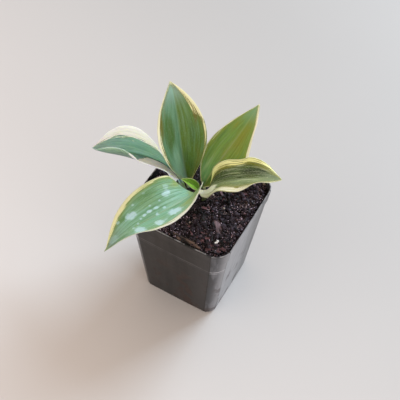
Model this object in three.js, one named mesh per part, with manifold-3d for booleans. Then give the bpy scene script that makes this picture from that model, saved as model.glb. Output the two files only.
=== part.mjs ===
// Young variegated hosta in a square nursery pot: five open leaves and one small unrolling leaf,
// each on its own channelled stalk, standing in dark compost that fills a thin tapered plastic pot.
// Millimetres, +Z up, origin at the centre of the pot's underside. The pot's sides face X and Y.

import * as THREE from "three";
import { mergeVertices } from "three/addons/utils/BufferGeometryUtils.js";
import Module from "manifold-3d";

const wasm = await Module();
wasm.setup();

// Gap left between pieces that touch on the real plant
const SEAT_GAP = 0.3;

// Pot: a 9 cm square nursery pot
const POT_HEIGHT = 110;
const POT_TOP_WIDTH = 90;
const POT_BASE_WIDTH = 68;
const POT_WALL = 1.2;
const POT_FLOOR = 1.6;
const RIM_BAND_HEIGHT = 14;
const RIM_BAND_STEP = 0.8;
const POT_EDGE = 0.5;
const TOP_CORNER_RADIUS = 13;
const BASE_CORNER_RADIUS = 9;
const CORNER_STEPS = 6;
const DRAIN_RADIUS = 3.5;
const DRAIN_OFFSET = 20;

// Compost: its surface lies a little under the rim, higher along the front edge
const SOIL_TOP = 104.8;
const SOIL_FALL_X = 0.018;
const SOIL_FALL_Y = 0.02;
const SOIL_SWELL = 0.7;
const SOIL_RINGS = 8;
const CRUMB_COUNT = 26;
const CRUMB_MIN = 1.2;
const CRUMB_MAX = 2.6;
const CRUMB_REACH = 38.5;
const CRUMB_SEED = 41;
const CROWN_CLEARING = 17;

// Leaves: every stalk stands this deep in a plain hole in the compost
const FOOT_HEIGHT = 94;
const STALK_GAP = 0.4;
const HOLE_SIDES = 12;
const HOLE_STEPS = 8;
const HOLE_LENGTH = 16;
const BLADE_THICKNESS = 0.8;
const EDGE_HALF_THICKNESS = 0.35;
const STALK_CHANNEL = 40;
const KEEL_DEPTH = 1.5;
const CREASE_WIDTH = 1.6;
const RIB_RELIEF = 0.32;
const RIB_COLUMNS = 2;
const BLEND_IN = 0.12;
const LOBE_REACH = 0.12;
const LARGE_LEAF = { stalkRows: 5, bladeRows: 20, sideColumns: 8 };
const SMALL_LEAF = { stalkRows: 5, bladeRows: 10, sideColumns: 4 };

// Each leaf: lengths in millimetres, angles in degrees. Rise is the slope above the horizon and
// heading is the compass direction from +X towards +Y, at the foot, the top of the stalk, the
// middle of the blade and its tip. Roll, fold and curl are at the blade's base, middle and tip:
// fold lifts a half from the midrib and curl bends it on towards its edge. A wave is the edge's
// height, its number along the blade and its start. A lobe reaches back past the stalk.
const LEAVES = {
  leaf_back: {
    mesh: LARGE_LEAF,
    foot: [-10.8, 5],
    stalk: 2,
    petiole: 14.5,
    blade: 88.5,
    rise: [84, 66, 62.5, 45],
    heading: [152, 162, 136, 148],
    roll: [0, 5, 2.5],
    halfWidth: 21,
    widestAt: 0.52,
    taper: 1.05,
    left: { fold: [25, 16, 6], curl: [20, 12, 0], wave: [0, 1, 0], lobe: 0 },
    right: { fold: [25, 14, 7], curl: [20, 8, 0], wave: [0, 1, 0], lobe: 0 },
    colour: 0x4f7d5a,
  },
  leaf_left: {
    mesh: LARGE_LEAF,
    foot: [-10.6, -1.2],
    stalk: 2,
    petiole: 23.5,
    blade: 79,
    rise: [80, 14, 3, -7],
    heading: [150, 150, 197, 190],
    roll: [1, -25, 12],
    halfWidth: 26.5,
    widestAt: 0.49,
    taper: 0.84,
    left: { fold: [54, 48, 10], curl: [34, 34, -4], wave: [-10, 0.8, 0.14], lobe: 2.5 },
    right: { fold: [52, 51, 1], curl: [32, 31, -8], wave: [6, 1.25, 0.1], lobe: 0 },
    colour: 0x5d8f86,
  },
  leaf_front_left: {
    mesh: LARGE_LEAF,
    foot: [-5.6, -3.2],
    stalk: 2,
    petiole: 26.5,
    blade: 108,
    rise: [82, 72, 5, -4],
    heading: [282, 315, 247, 263],
    roll: [7, 10, 11],
    halfWidth: 25.5,
    widestAt: 0.51,
    taper: 1.16,
    left: { fold: [34, 27, 13], curl: [27, 18, 3], wave: [4.4, 1.7, -0.2], lobe: 0 },
    right: { fold: [19, 25, 4], curl: [15, 15, -6], wave: [-5.6, 0.97, 0.23], lobe: 5 },
    colour: 0x84ab8b,
  },
  leaf_back_right: {
    mesh: LARGE_LEAF,
    foot: [-4, 8.8],
    stalk: 2,
    petiole: 14.3,
    blade: 82,
    rise: [84, 78, 39, 56],
    heading: [62, 57, 73, 71],
    roll: [0, -4, -21],
    halfWidth: 19.6,
    widestAt: 0.48,
    taper: 1.14,
    left: { fold: [25, -1, -1], curl: [18, -10, -4], wave: [-0.7, 1, 0], lobe: 0 },
    right: { fold: [12, -3, 9], curl: [4, -9, 16], wave: [-5, 1.35, -0.13], lobe: 0 },
    colour: 0x6f8a3c,
  },
  leaf_right: {
    mesh: LARGE_LEAF,
    foot: [-0.4, 2.6],
    stalk: 2,
    petiole: 22,
    blade: 72,
    rise: [80, 78, 30, 11],
    heading: [0, 0, 13.5, 16],
    roll: [-28, -16, -14],
    halfWidth: 20.5,
    widestAt: 0.47,
    taper: 0.72,
    left: { fold: [27, 13, 12], curl: [36, 26, -12], wave: [-4.4, 1.95, 0.34], lobe: 0 },
    right: { fold: [-8, 6, 22], curl: [-18, -2, 7], wave: [1.8, 2.7, -0.9], lobe: 0 },
    colour: 0x71805a,
  },
  leaf_small_centre: {
    mesh: SMALL_LEAF,
    foot: [-5.2, 3],
    stalk: 1.5,
    petiole: 17.5,
    blade: 18.5,
    rise: [88, 92, 34, 14],
    heading: [205, 206, 200, 192],
    roll: [0, -17, -6],
    halfWidth: 4.4,
    widestAt: 0.45,
    taper: 1,
    left: { fold: [40, 24, 20], curl: [20, 1, 0], wave: [-1, 1, 0], lobe: 0 },
    right: { fold: [40, 38, 24], curl: [20, 14, 0], wave: [0.4, 1, 0], lobe: 0 },
    colour: 0x5f9a35,
  },
};

// Loose pieces on the compost: outline in plan, thickness, place, turn and tilt in degrees
const CHIPS = {
  bark_chip_front: {
    outline: [[-13, -1.2], [-6, -2.5], [3, -2.3], [11, -1.6], [13, 0.2], [7, 1.9], [-4, 2.6], [-12, 1]],
    thickness: 2.2,
    place: [9.8, -39.4, 106],
    turn: -2,
    tilt: [10, 2],
    colour: 0x7d5a40,
  },
  bark_chip_long: {
    outline: [[-8, -2], [-3, -2.9], [5, -2.4], [8.2, -0.6], [6, 1.9], [-1, 2.7], [-7, 1.5]],
    thickness: 2,
    place: [25.5, -16.5, 104.9],
    turn: -47,
    tilt: [-6, 4],
    colour: 0x8a6a66,
  },
};
const CHIP_BEVEL = 0.4;

// Perlite: one white grain with a smaller knob that bends it like a comma
const GRAIN_PLACE = [30, -28, 105.6];
const GRAIN_RADIUS = 1.5;
const GRAIN_STRETCH = [1, 1.25, 0.85];
const KNOB_RADIUS = 1;
const KNOB_OFFSET = [-0.9, -1.5, -0.1];

const { degToRad, lerp, smoothstep, seededRandom } = THREE.MathUtils;

// Boolean joining and cutting
function toSolid(geometry) {
  const bare = geometry.clone();
  bare.deleteAttribute("normal");
  bare.deleteAttribute("uv");
  const merged = mergeVertices(bare, 1e-3);
  const mesh = new wasm.Mesh({
    numProp: 3,
    vertProperties: merged.attributes.position.array,
    triVerts: new Uint32Array(merged.index.array),
  });
  return new wasm.Manifold(mesh);
}

function toMesh(name, solid, look) {
  const { vertProperties, triVerts, numProp, numVert } = solid.getMesh();
  const position = new Float32Array(numVert * 3);
  for (let i = 0; i < numVert; i++) {
    position.set(vertProperties.subarray(i * numProp, i * numProp + 3), i * 3);
  }
  const geometry = new THREE.BufferGeometry();
  geometry.setAttribute("position", new THREE.BufferAttribute(position, 3));
  geometry.setIndex(new THREE.BufferAttribute(triVerts, 1));
  geometry.computeVertexNormals();
  const mesh = new THREE.Mesh(geometry, new THREE.MeshStandardMaterial(look));
  mesh.name = name;
  return mesh;
}

// A level rounded square, counter-clockwise seen from above
function roundedSquare(half, radius, height) {
  const points = [];
  for (let corner = 0; corner < 4; corner++) {
    const start = (corner * Math.PI) / 2;
    const diagonal = start + Math.PI / 4;
    const reach = (half - radius) * Math.SQRT2;
    for (let step = 0; step <= CORNER_STEPS; step++) {
      const angle = start + (step / CORNER_STEPS) * (Math.PI / 2);
      const x = reach * Math.cos(diagonal) + radius * Math.cos(angle);
      const y = reach * Math.sin(diagonal) + radius * Math.sin(angle);
      points.push(new THREE.Vector3(x, y, height));
    }
  }
  return points;
}

// A closed skin over rings of points, the first and last ring closed by a fan
function loft(rings) {
  const count = rings[0].length;
  const points = rings.flat();
  const index = [];
  for (let ring = 0; ring + 1 < rings.length; ring++) {
    for (let i = 0; i < count; i++) {
      const j = (i + 1) % count;
      const here = ring * count;
      const next = here + count;
      index.push(here + i, here + j, next + j, here + i, next + j, next + i);
    }
  }
  const last = (rings.length - 1) * count;
  const centres = [rings[0], rings[rings.length - 1]].map((ring) =>
    ring.reduce((sum, p) => sum.add(p), new THREE.Vector3()).divideScalar(count),
  );
  points.push(...centres);
  const bottom = points.length - 2;
  const top = points.length - 1;
  for (let i = 0; i < count; i++) {
    const j = (i + 1) % count;
    index.push(bottom, j, i, top, last + i, last + j);
  }
  return new THREE.BufferGeometry().setFromPoints(points).setIndex(index);
}

// The pot's outer size at a height, straight from the base up to under the rim band
function potAt(height) {
  const up = height / POT_HEIGHT;
  const topHalf = POT_TOP_WIDTH / 2 - RIM_BAND_STEP;
  return {
    half: lerp(POT_BASE_WIDTH / 2, topHalf, up),
    radius: lerp(BASE_CORNER_RADIUS, TOP_CORNER_RADIUS, up),
  };
}

function potRing(height, outwards) {
  const { half, radius } = potAt(height);
  return roundedSquare(half + outwards, radius + outwards, height);
}

const bandFoot = POT_HEIGHT - RIM_BAND_HEIGHT;

function buildPot() {
  const shell = loft([
    potRing(0, -POT_EDGE),
    potRing(POT_EDGE, 0),
    potRing(bandFoot, 0),
    potRing(bandFoot + POT_EDGE, RIM_BAND_STEP),
    potRing(POT_HEIGHT - POT_EDGE, RIM_BAND_STEP),
    potRing(POT_HEIGHT, RIM_BAND_STEP - POT_EDGE / 2),
    potRing(POT_HEIGHT, RIM_BAND_STEP - POT_WALL + POT_EDGE / 2),
    potRing(POT_HEIGHT - POT_EDGE, RIM_BAND_STEP - POT_WALL),
    potRing(bandFoot + POT_EDGE, RIM_BAND_STEP - POT_WALL),
    potRing(bandFoot, -POT_WALL),
    potRing(POT_FLOOR, -POT_WALL),
  ]);
  let pot = toSolid(shell);
  for (const x of [-DRAIN_OFFSET, 0, DRAIN_OFFSET]) {
    for (const y of [-DRAIN_OFFSET, 0, DRAIN_OFFSET]) {
      if (x !== 0 || y !== 0) {
        const drill = new THREE.CylinderGeometry(DRAIN_RADIUS, DRAIN_RADIUS, 4 * POT_FLOOR, 16);
        drill.rotateX(Math.PI / 2).translate(x, y, 0);
        pot = pot.subtract(toSolid(drill));
      }
    }
  }
  return pot;
}

// The compost's surface: a gentle fall to the back and right, with low swells
function soilHeight(x, y) {
  const fall = -SOIL_FALL_X * x - SOIL_FALL_Y * y;
  const broad = Math.sin(x / 9 + 1.3) * Math.cos(y / 8 - 0.6);
  const fine = 0.5 * Math.sin(x / 3.1 - y / 4.3);
  return SOIL_TOP + fall + SOIL_SWELL * (broad + fine);
}

function soilTopRing(share) {
  const inwards = -POT_WALL - SEAT_GAP;
  return potRing(SOIL_TOP, inwards + RIM_BAND_STEP).map((p) => {
    const height = soilHeight(p.x * share, p.y * share);
    const taper = (share * potAt(height).half) / potAt(SOIL_TOP).half;
    return new THREE.Vector3(p.x * taper, p.y * taper, height);
  });
}

// Small lumps half sunk in the surface, clear of the leaf stalks, the chips and the pot
function soilCrumbs(avoid) {
  seededRandom(CRUMB_SEED);
  const crumbs = [];
  while (crumbs.length < CRUMB_COUNT) {
    const radius = lerp(CRUMB_MIN, CRUMB_MAX, seededRandom() ** 2);
    const x = lerp(-CRUMB_REACH, CRUMB_REACH, seededRandom());
    const y = lerp(-CRUMB_REACH, CRUMB_REACH, seededRandom());
    const turn = seededRandom() * Math.PI * 2;
    const clear = avoid.every((spot) => Math.hypot(x - spot.x, y - spot.y) > spot.clearance);
    const cornerCut = Math.abs(x) + Math.abs(y) < 1.7 * CRUMB_REACH;
    if (clear && cornerCut) {
      const crumb = new THREE.IcosahedronGeometry(radius, 0);
      crumb.scale(1.2, 0.9, 0.75).rotateX(turn).rotateZ(2 * turn);
      crumb.translate(x, y, soilHeight(x, y) + 0.1 * radius);
      crumbs.push(crumb);
    }
  }
  return crumbs;
}

// Leaves: the midrib is a curve of changing slope and heading, and each half of the blade is an
// arc that folds up from it, wider at the middle, waved at its edge.
function along([base, middle, tip], u) {
  return base * (1 - u) * (1 - 2 * u) + middle * 4 * u * (1 - u) + tip * u * (2 * u - 1);
}

function midribAngles(leaf, s) {
  if (s < leaf.petiole) {
    const up = smoothstep(s / leaf.petiole, 0, 1);
    return [lerp(leaf.rise[0], leaf.rise[1], up), lerp(leaf.heading[0], leaf.heading[1], up)];
  }
  const u = (s - leaf.petiole) / leaf.blade;
  return [along(leaf.rise.slice(1), u), along(leaf.heading.slice(1), u)];
}

function midribDirection(leaf, s) {
  const [rise, heading] = midribAngles(leaf, s).map(degToRad);
  const level = Math.cos(rise);
  return new THREE.Vector3(level * Math.cos(heading), level * Math.sin(heading), Math.sin(rise));
}

function midribPoint(leaf, s) {
  const point = new THREE.Vector3(leaf.foot[0], leaf.foot[1], FOOT_HEIGHT);
  const steps = Math.max(1, Math.ceil(Math.abs(s)));
  for (let i = 0; i < steps; i++) {
    point.addScaledVector(midribDirection(leaf, ((i + 0.5) / steps) * s), s / steps);
  }
  return point;
}

function bladeHalfWidth(leaf, u) {
  const before = (leaf.taper * leaf.widestAt) / (1 - leaf.widestAt);
  const outline = (u / leaf.widestAt) ** before * ((1 - u) / (1 - leaf.widestAt)) ** leaf.taper;
  const fromStalk = leaf.stalk * Math.max(0, 1 - 4 * u);
  return Math.hypot(leaf.halfWidth * outline, fromStalk);
}

// The upper and lower point of the leaf at s along it and v across it, from -1 right to 1 left
function leafSection(leaf, s, v) {
  const onStalk = s < leaf.petiole;
  const up = onStalk ? smoothstep(s / leaf.petiole, 0, 1) : 1;
  const u = onStalk ? 0 : (s - leaf.petiole) / leaf.blade;
  const side = v < 0 ? -1 : 1;
  const t = Math.abs(v);
  const half = side > 0 ? leaf.left : leaf.right;

  const direction = midribDirection(leaf, s);
  const heading = degToRad(midribAngles(leaf, s)[1]);
  const flatSide = new THREE.Vector3(-Math.sin(heading), Math.cos(heading), 0);
  const roll = degToRad(onStalk ? up * leaf.roll[0] : along(leaf.roll, u));
  const across = flatSide.clone().applyAxisAngle(direction, roll);
  const above = direction.clone().cross(across);

  const blend = smoothstep(u / BLEND_IN, 0, 1);
  const fold = degToRad(lerp(up * STALK_CHANNEL, along(half.fold, u), blend));
  const curl = degToRad(along(half.curl, u) * blend);
  const width = onStalk ? leaf.stalk : bladeHalfWidth(leaf, u);
  const middleAngle = fold + (curl * t) / 2;
  const chord = Math.abs(curl) < 1e-6 ? width * t : (2 * width * Math.sin((curl * t) / 2)) / curl;
  const angle = fold + curl * t;

  const [height, number, start] = half.wave;
  const wave = height * t ** 2 * Math.sin(2 * Math.PI * (number * u + start)) * Math.sqrt(Math.sin(Math.PI * u));
  const out = chord * Math.cos(middleAngle) - 0.3 * Math.abs(wave) - wave * Math.sin(angle);
  const lift = chord * Math.sin(middleAngle) + wave * Math.cos(angle);
  const back = -half.lobe * t ** 1.5 * Math.exp(-u / LOBE_REACH) * smoothstep(u / 0.03, 0, 1);

  const skin = midribPoint(leaf, s)
    .addScaledVector(across, side * out)
    .addScaledVector(above, lift)
    .addScaledVector(direction, onStalk ? 0 : back);
  const lean = angle * smoothstep((width * t) / CREASE_WIDTH, 0, 1);
  const normal = above.clone().multiplyScalar(Math.cos(lean)).addScaledVector(across, -side * Math.sin(lean));

  // The stalk is round below and channelled above; the blade is thin with a keel and raised ribs
  const round = leaf.stalk * Math.sqrt(1 - t * t);
  const crease = t === 0 ? 1 / Math.max(0.6, Math.cos(fold)) : 1;
  const thin = lerp(EDGE_HALF_THICKNESS, BLADE_THICKNESS / 2, Math.min(1, 4 * (1 - t))) * crease;
  const keel = t === 0 ? KEEL_DEPTH * (1 - u) ** 2 : 0;
  const ribFade = smoothstep(u / 0.15, 0, 1) * smoothstep((1 - u) / 0.3, 0, 1);
  const ribs = leaf.mesh.sideColumns / RIB_COLUMNS;
  const relief = -RIB_RELIEF * Math.cos(2 * Math.PI * ribs * t) * ribFade * (width / leaf.halfWidth);
  const stalkTop = Math.max(EDGE_HALF_THICKNESS, round * (1 - up));
  const stalkUnder = Math.max(EDGE_HALF_THICKNESS, round);
  const top = onStalk ? Math.max(stalkTop, thin * up) : thin + relief;
  const under = onStalk ? stalkUnder : Math.max(lerp(stalkUnder, thin, blend), thin + keel) - relief;
  return {
    upper: skin.clone().addScaledVector(normal, top),
    lower: skin.clone().addScaledVector(normal, -under),
  };
}

// One closed leaf: both faces are split into triangles along the same diagonals
function leafGeometry(leaf) {
  const rows = [];
  const { stalkRows, bladeRows, sideColumns } = leaf.mesh;
  for (let i = 0; i < stalkRows; i++) rows.push((leaf.petiole * i) / stalkRows);
  for (let i = 0; i < bladeRows; i++) rows.push(leaf.petiole + (leaf.blade * i) / bladeRows);
  const columns = 2 * sideColumns;
  const count = columns + 1;
  const points = [];
  for (const s of rows) {
    const cuts = Array.from({ length: count }, (_, c) => leafSection(leaf, s, 1 - c / sideColumns));
    points.push(...cuts.map((cut) => cut.upper), ...cuts.map((cut) => cut.lower));
  }
  const tip = points.push(midribPoint(leaf, leaf.petiole + leaf.blade)) - 1;
  const upper = (row, column) => row * 2 * count + column;
  const lower = (row, column) => upper(row, column) + count;
  const index = [];
  for (let r = 0; r + 1 < rows.length; r++) {
    for (let c = 0; c < columns; c++) {
      index.push(upper(r, c), upper(r, c + 1), upper(r + 1, c + 1));
      index.push(upper(r, c), upper(r + 1, c + 1), upper(r + 1, c));
      index.push(lower(r, c), lower(r + 1, c + 1), lower(r, c + 1));
      index.push(lower(r, c), lower(r + 1, c), lower(r + 1, c + 1));
    }
    index.push(lower(r, 0), upper(r, 0), upper(r + 1, 0), lower(r, 0), upper(r + 1, 0), lower(r + 1, 0));
    index.push(upper(r, columns), lower(r, columns), lower(r + 1, columns));
    index.push(upper(r, columns), lower(r + 1, columns), upper(r + 1, columns));
  }
  const end = rows.length - 1;
  for (let c = 0; c < columns; c++) {
    index.push(upper(0, c), lower(0, c), lower(0, c + 1), upper(0, c), lower(0, c + 1), upper(0, c + 1));
    index.push(upper(end, c), upper(end, c + 1), tip, lower(end, c + 1), lower(end, c), tip);
  }
  index.push(lower(end, 0), upper(end, 0), tip, upper(end, columns), lower(end, columns), tip);
  return new THREE.BufferGeometry().setFromPoints(points).setIndex(index);
}

// The plain hole that a stalk stands in
function stalkHole(leaf) {
  const radius = Math.hypot(leaf.stalk, EDGE_HALF_THICKNESS) + STALK_GAP;
  const outline = new THREE.Shape();
  for (let i = 0; i < HOLE_SIDES; i++) {
    const angle = (i / HOLE_SIDES) * 2 * Math.PI;
    const x = radius * Math.cos(angle);
    const y = radius * Math.sin(angle);
    if (i === 0) outline.moveTo(x, y);
    else outline.lineTo(x, y);
  }
  outline.closePath();
  const stops = Array.from({ length: HOLE_STEPS + 1 }, (_, i) => lerp(-SEAT_GAP, HOLE_LENGTH, i / HOLE_STEPS));
  const path = new THREE.CatmullRomCurve3(stops.map((s) => midribPoint(leaf, s)));
  const options = { steps: HOLE_STEPS, bevelEnabled: false, extrudePath: path };
  return new THREE.ExtrudeGeometry(outline, options);
}

// A flat bark chip, or with a growth the seat that it lies in
function chipGeometry(chip, growth) {
  const outline = new THREE.Shape(chip.outline.map(([x, y]) => new THREE.Vector2(x, y)));
  const bevel = CHIP_BEVEL + growth;
  const depth = chip.thickness - 2 * CHIP_BEVEL;
  const options = { depth, bevelSize: bevel, bevelThickness: bevel, bevelSegments: 1 };
  const geometry = new THREE.ExtrudeGeometry(outline, options);
  geometry.translate(0, 0, -depth / 2);
  geometry.rotateX(degToRad(chip.tilt[0])).rotateY(degToRad(chip.tilt[1])).rotateZ(degToRad(chip.turn));
  return geometry.translate(...chip.place);
}

function grainSolid(growth) {
  const body = new THREE.IcosahedronGeometry(GRAIN_RADIUS + growth, 1);
  body.scale(...GRAIN_STRETCH).translate(...GRAIN_PLACE);
  const knob = new THREE.IcosahedronGeometry(KNOB_RADIUS + growth, 1);
  knob.translate(...KNOB_OFFSET).translate(...GRAIN_PLACE);
  return toSolid(body).add(toSolid(knob));
}

function buildSoil() {
  const inwards = -POT_WALL - SEAT_GAP;
  const rings = [
    potRing(POT_FLOOR + SEAT_GAP, inwards),
    potRing(bandFoot + SEAT_GAP, inwards),
    potRing(bandFoot + SEAT_GAP + POT_EDGE, inwards + RIM_BAND_STEP),
  ];
  for (let i = 0; i < SOIL_RINGS; i++) rings.push(soilTopRing(1 - i / SOIL_RINGS));
  let soil = toSolid(loft(rings));
  const [crownX, crownY] = LEAVES.leaf_small_centre.foot;
  const avoid = [{ x: crownX, y: crownY, clearance: CROWN_CLEARING }];
  for (const chip of Object.values(CHIPS)) {
    const halfLength = Math.max(...chip.outline.map(([x]) => x));
    avoid.push({ x: chip.place[0], y: chip.place[1], clearance: halfLength + 1.5 * CRUMB_MAX });
  }
  avoid.push({ x: GRAIN_PLACE[0], y: GRAIN_PLACE[1], clearance: 3 * GRAIN_RADIUS + CRUMB_MAX });
  for (const crumb of soilCrumbs(avoid)) soil = soil.add(toSolid(crumb));
  for (const leaf of Object.values(LEAVES)) soil = soil.subtract(toSolid(stalkHole(leaf)));
  for (const chip of Object.values(CHIPS)) soil = soil.subtract(toSolid(chipGeometry(chip, SEAT_GAP)));
  return soil.subtract(grainSolid(SEAT_GAP));
}

const plant = new THREE.Group();
plant.add(toMesh("pot", buildPot(), { color: 0x3b3a3b, roughness: 0.45, metalness: 0 }));
plant.add(toMesh("soil", buildSoil(), { color: 0x2b2020, roughness: 1, metalness: 0 }));
for (const [name, leaf] of Object.entries(LEAVES)) {
  const look = { color: leaf.colour, roughness: 0.5, metalness: 0 };
  plant.add(toMesh(name, toSolid(leafGeometry(leaf)), look));
}
for (const [name, chip] of Object.entries(CHIPS)) {
  const look = { color: chip.colour, roughness: 0.95, metalness: 0 };
  plant.add(toMesh(name, toSolid(chipGeometry(chip, 0)), look));
}
plant.add(toMesh("perlite_grain", grainSolid(0), { color: 0xf1efe9, roughness: 0.9, metalness: 0 }));

export default plant;
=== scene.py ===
import random
from math import cos, exp, hypot, pi, radians, sin, sqrt

import bmesh
import bpy
from mathutils import Euler, Matrix, Quaternion, Vector, noise


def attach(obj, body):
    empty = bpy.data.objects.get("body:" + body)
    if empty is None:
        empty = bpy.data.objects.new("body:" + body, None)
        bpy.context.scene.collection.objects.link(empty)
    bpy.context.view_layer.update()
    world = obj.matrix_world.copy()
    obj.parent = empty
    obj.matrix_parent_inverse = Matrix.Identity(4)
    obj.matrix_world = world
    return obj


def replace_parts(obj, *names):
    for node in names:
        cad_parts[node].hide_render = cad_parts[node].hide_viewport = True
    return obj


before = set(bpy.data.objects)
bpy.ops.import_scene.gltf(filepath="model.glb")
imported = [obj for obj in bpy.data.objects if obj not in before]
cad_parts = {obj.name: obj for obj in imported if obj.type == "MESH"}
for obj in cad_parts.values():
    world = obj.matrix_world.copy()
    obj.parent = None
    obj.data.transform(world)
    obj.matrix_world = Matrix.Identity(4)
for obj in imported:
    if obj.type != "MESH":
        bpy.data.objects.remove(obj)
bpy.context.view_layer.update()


# The room: a plain pale floor under soft light. A cool panel like a window stands behind the plant,
# a little to its right, two weak panels stand in front and at the right, and the rest is warm.
# The camera stands in front of the pot, a little to its right, and looks down on the plant.
CAMERA_AZIMUTH = radians(26.5)
CAMERA_ELEVATION = radians(53.9)
CAMERA_DISTANCE = 0.764
CAMERA_ROLL = radians(3.58)
CAMERA_TARGET = Vector((-0.0347, 0.0688, 0.0))
CAMERA_LENS = 72.0
CAMERA_SENSOR = 36.0
# Each panel's name, place, the point that it lights, width, power and colour
PANELS = (
    ("window_panel", (0.45, 1.35, 1.15), (0, 0, 0.1), 0.9, 25.0, (0.90, 1.10, 1.29)),
    ("front_panel", (-1.0, -1.3, 1.3), (-0.1, 0, 0.1), 1.4, 6.0, (1.0, 0.94, 0.88)),
    ("side_panel", (1.5, -0.4, 0.35), (0, 0, 0.08), 0.8, 6.5, (0.88, 0.94, 1.05)),
)
WARM_ROOM = (0.81, 0.656, 0.567)
PLAIN_BACKDROP = (0.70, 0.685, 0.67)
FLOOR_SIZE = 6.0
FLOOR_FRONT = (0.690, 0.683, 0.672)
FLOOR_BACK = (0.400, 0.406, 0.399)
FLOOR_CLOUD = (0.62, 0.61, 0.60)
FLOOR_FADE = 0.37

camera_back = Vector((
    sin(CAMERA_AZIMUTH) * cos(CAMERA_ELEVATION),
    -cos(CAMERA_AZIMUTH) * cos(CAMERA_ELEVATION),
    sin(CAMERA_ELEVATION),
))
camera = bpy.data.objects.new("camera", bpy.data.cameras.new("camera"))
camera.data.lens = CAMERA_LENS
camera.data.sensor_width = CAMERA_SENSOR
camera.location = CAMERA_TARGET + camera_back * CAMERA_DISTANCE
camera.rotation_mode = "QUATERNION"
looks_down = (-camera_back).to_track_quat("-Z", "Y")
camera.rotation_quaternion = Quaternion(camera_back, CAMERA_ROLL) @ looks_down
bpy.context.scene.collection.objects.link(camera)
bpy.context.scene.camera = camera
bpy.context.scene.view_settings.view_transform = "Standard"

for name, place, aim, width, power, colour in PANELS:
    lamp = bpy.data.lights.new(name, "AREA")
    lamp.size = width
    lamp.energy = power
    lamp.color = colour
    panel = bpy.data.objects.new(name, lamp)
    panel.location = place
    panel.rotation_euler = (Vector(aim) - Vector(place)).to_track_quat("-Z", "Y").to_euler()
    bpy.context.scene.collection.objects.link(panel)


def feed(tree, socket, value):
    """Gives an input a link, a colour or a number."""
    if isinstance(value, bpy.types.NodeSocket):
        tree.links.new(value, socket)
    elif socket.type == "RGBA":
        socket.default_value = (*value, 1)
    else:
        socket.default_value = value


def shader_node(tree, kind, values=None, **settings):
    """One node, with its settings and with numbers or links on its named inputs."""
    node = tree.nodes.new(kind)
    for name, setting in settings.items():
        setattr(node, name, setting)
    for name, value in (values or {}).items():
        feed(tree, node.inputs[name], value)
    return node


def finish_of(name, roughness=0.5, specular=0.5, sheen=0.0, subsurface=0.0):
    """A new material with the numbers that are the same all over its surface."""
    material = bpy.data.materials.new(name)
    material.use_nodes = True
    skin = material.node_tree.nodes["Principled BSDF"]
    skin.inputs["Roughness"].default_value = roughness
    skin.inputs["Specular IOR Level"].default_value = specular
    skin.inputs["Sheen Weight"].default_value = sheen
    skin.inputs["Subsurface Weight"].default_value = subsurface
    return material, material.node_tree, skin


def blended(tree, factor, first, second):
    """A colour between two colours."""
    mix = shader_node(tree, "ShaderNodeMix", data_type="RGBA")
    # The node has several inputs named A and B, so those for colours are taken by number
    for number, value in ((0, factor), (6, first), (7, second)):
        feed(tree, mix.inputs[number], value)
    return mix.outputs[2]


def sum_of(tree, operation, *values):
    """The result of a sum on numbers or links."""
    node = shader_node(tree, "ShaderNodeMath", operation=operation)
    for socket, value in zip(node.inputs, values):
        feed(tree, socket, value)
    return node.outputs[0]


def product(tree, first, second):
    return sum_of(tree, "MULTIPLY", first, second)


def layered(tree, colour, layers):
    """A colour with others laid over it in turn, each where its mask says and at its own share."""
    for tint, mask, share in layers:
        colour = blended(tree, product(tree, mask, share), colour, tint)
    return colour


def ramp_between(tree, value, low, high, start=0.0, end=1.0):
    """A smooth step from start to end as a value goes from low to high."""
    values = {"Value": value, "From Min": low, "From Max": high, "To Min": start, "To Max": end}
    ramp = shader_node(tree, "ShaderNodeMapRange", values, interpolation_type="SMOOTHSTEP")
    return ramp.outputs["Result"]


def speckle(tree, place, scale, detail=3.0, stretch=(1, 1, 1)):
    """Even noise from 0 to 1 round 0.5, which a stretch draws out."""
    moved = shader_node(tree, "ShaderNodeMapping", {"Vector": place, "Scale": stretch})
    values = {"Vector": moved.outputs["Vector"], "Scale": scale, "Detail": detail, "Roughness": 0.55}
    return shader_node(tree, "ShaderNodeTexNoise", values).outputs["Fac"]


def place_on_piece(tree):
    return shader_node(tree, "ShaderNodeTexCoord").outputs["Object"]


def object_from(bm, name, material=None):
    """An object in the scene, made from a bmesh."""
    mesh = bpy.data.meshes.new(name)
    bm.to_mesh(mesh)
    bm.free()
    if material:
        mesh.materials.append(material)
    thing = bpy.data.objects.new(name, mesh)
    bpy.context.scene.collection.objects.link(thing)
    return thing


# The room's light is warm, but where the camera sees past the floor's end it is a plain grey
world = bpy.data.worlds.new("room")
world.use_nodes = True
backdrop = world.node_tree.nodes["Background"]
seen = shader_node(world.node_tree, "ShaderNodeLightPath").outputs["Is Camera Ray"]
room_light = blended(world.node_tree, seen, WARM_ROOM, PLAIN_BACKDROP)
world.node_tree.links.new(room_light, backdrop.inputs["Color"])
bpy.context.scene.world = world

# The floor grows darker towards the window, which evens the light on it
floor_material, tree, skin = finish_of("plain_floor", roughness=0.6)
here = place_on_piece(tree)
at_x, at_y, _ = shader_node(tree, "ShaderNodeSeparateXYZ", {"Vector": here}).outputs
to_the_back = ramp_between(tree, sum_of(tree, "MULTIPLY_ADD", at_x, 0.45, at_y), -FLOOR_FADE, FLOOR_FADE)
colour = blended(tree, to_the_back, FLOOR_FRONT, FLOOR_BACK)
colour = layered(tree, colour, [(FLOOR_CLOUD, speckle(tree, here, 5.0, 2.0), 0.1)])
tree.links.new(colour, skin.inputs["Base Color"])
floor_mesh = bmesh.new()
bmesh.ops.create_grid(floor_mesh, x_segments=1, y_segments=1, size=FLOOR_SIZE / 2)
floor = object_from(floor_mesh, "floor", floor_material)


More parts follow.
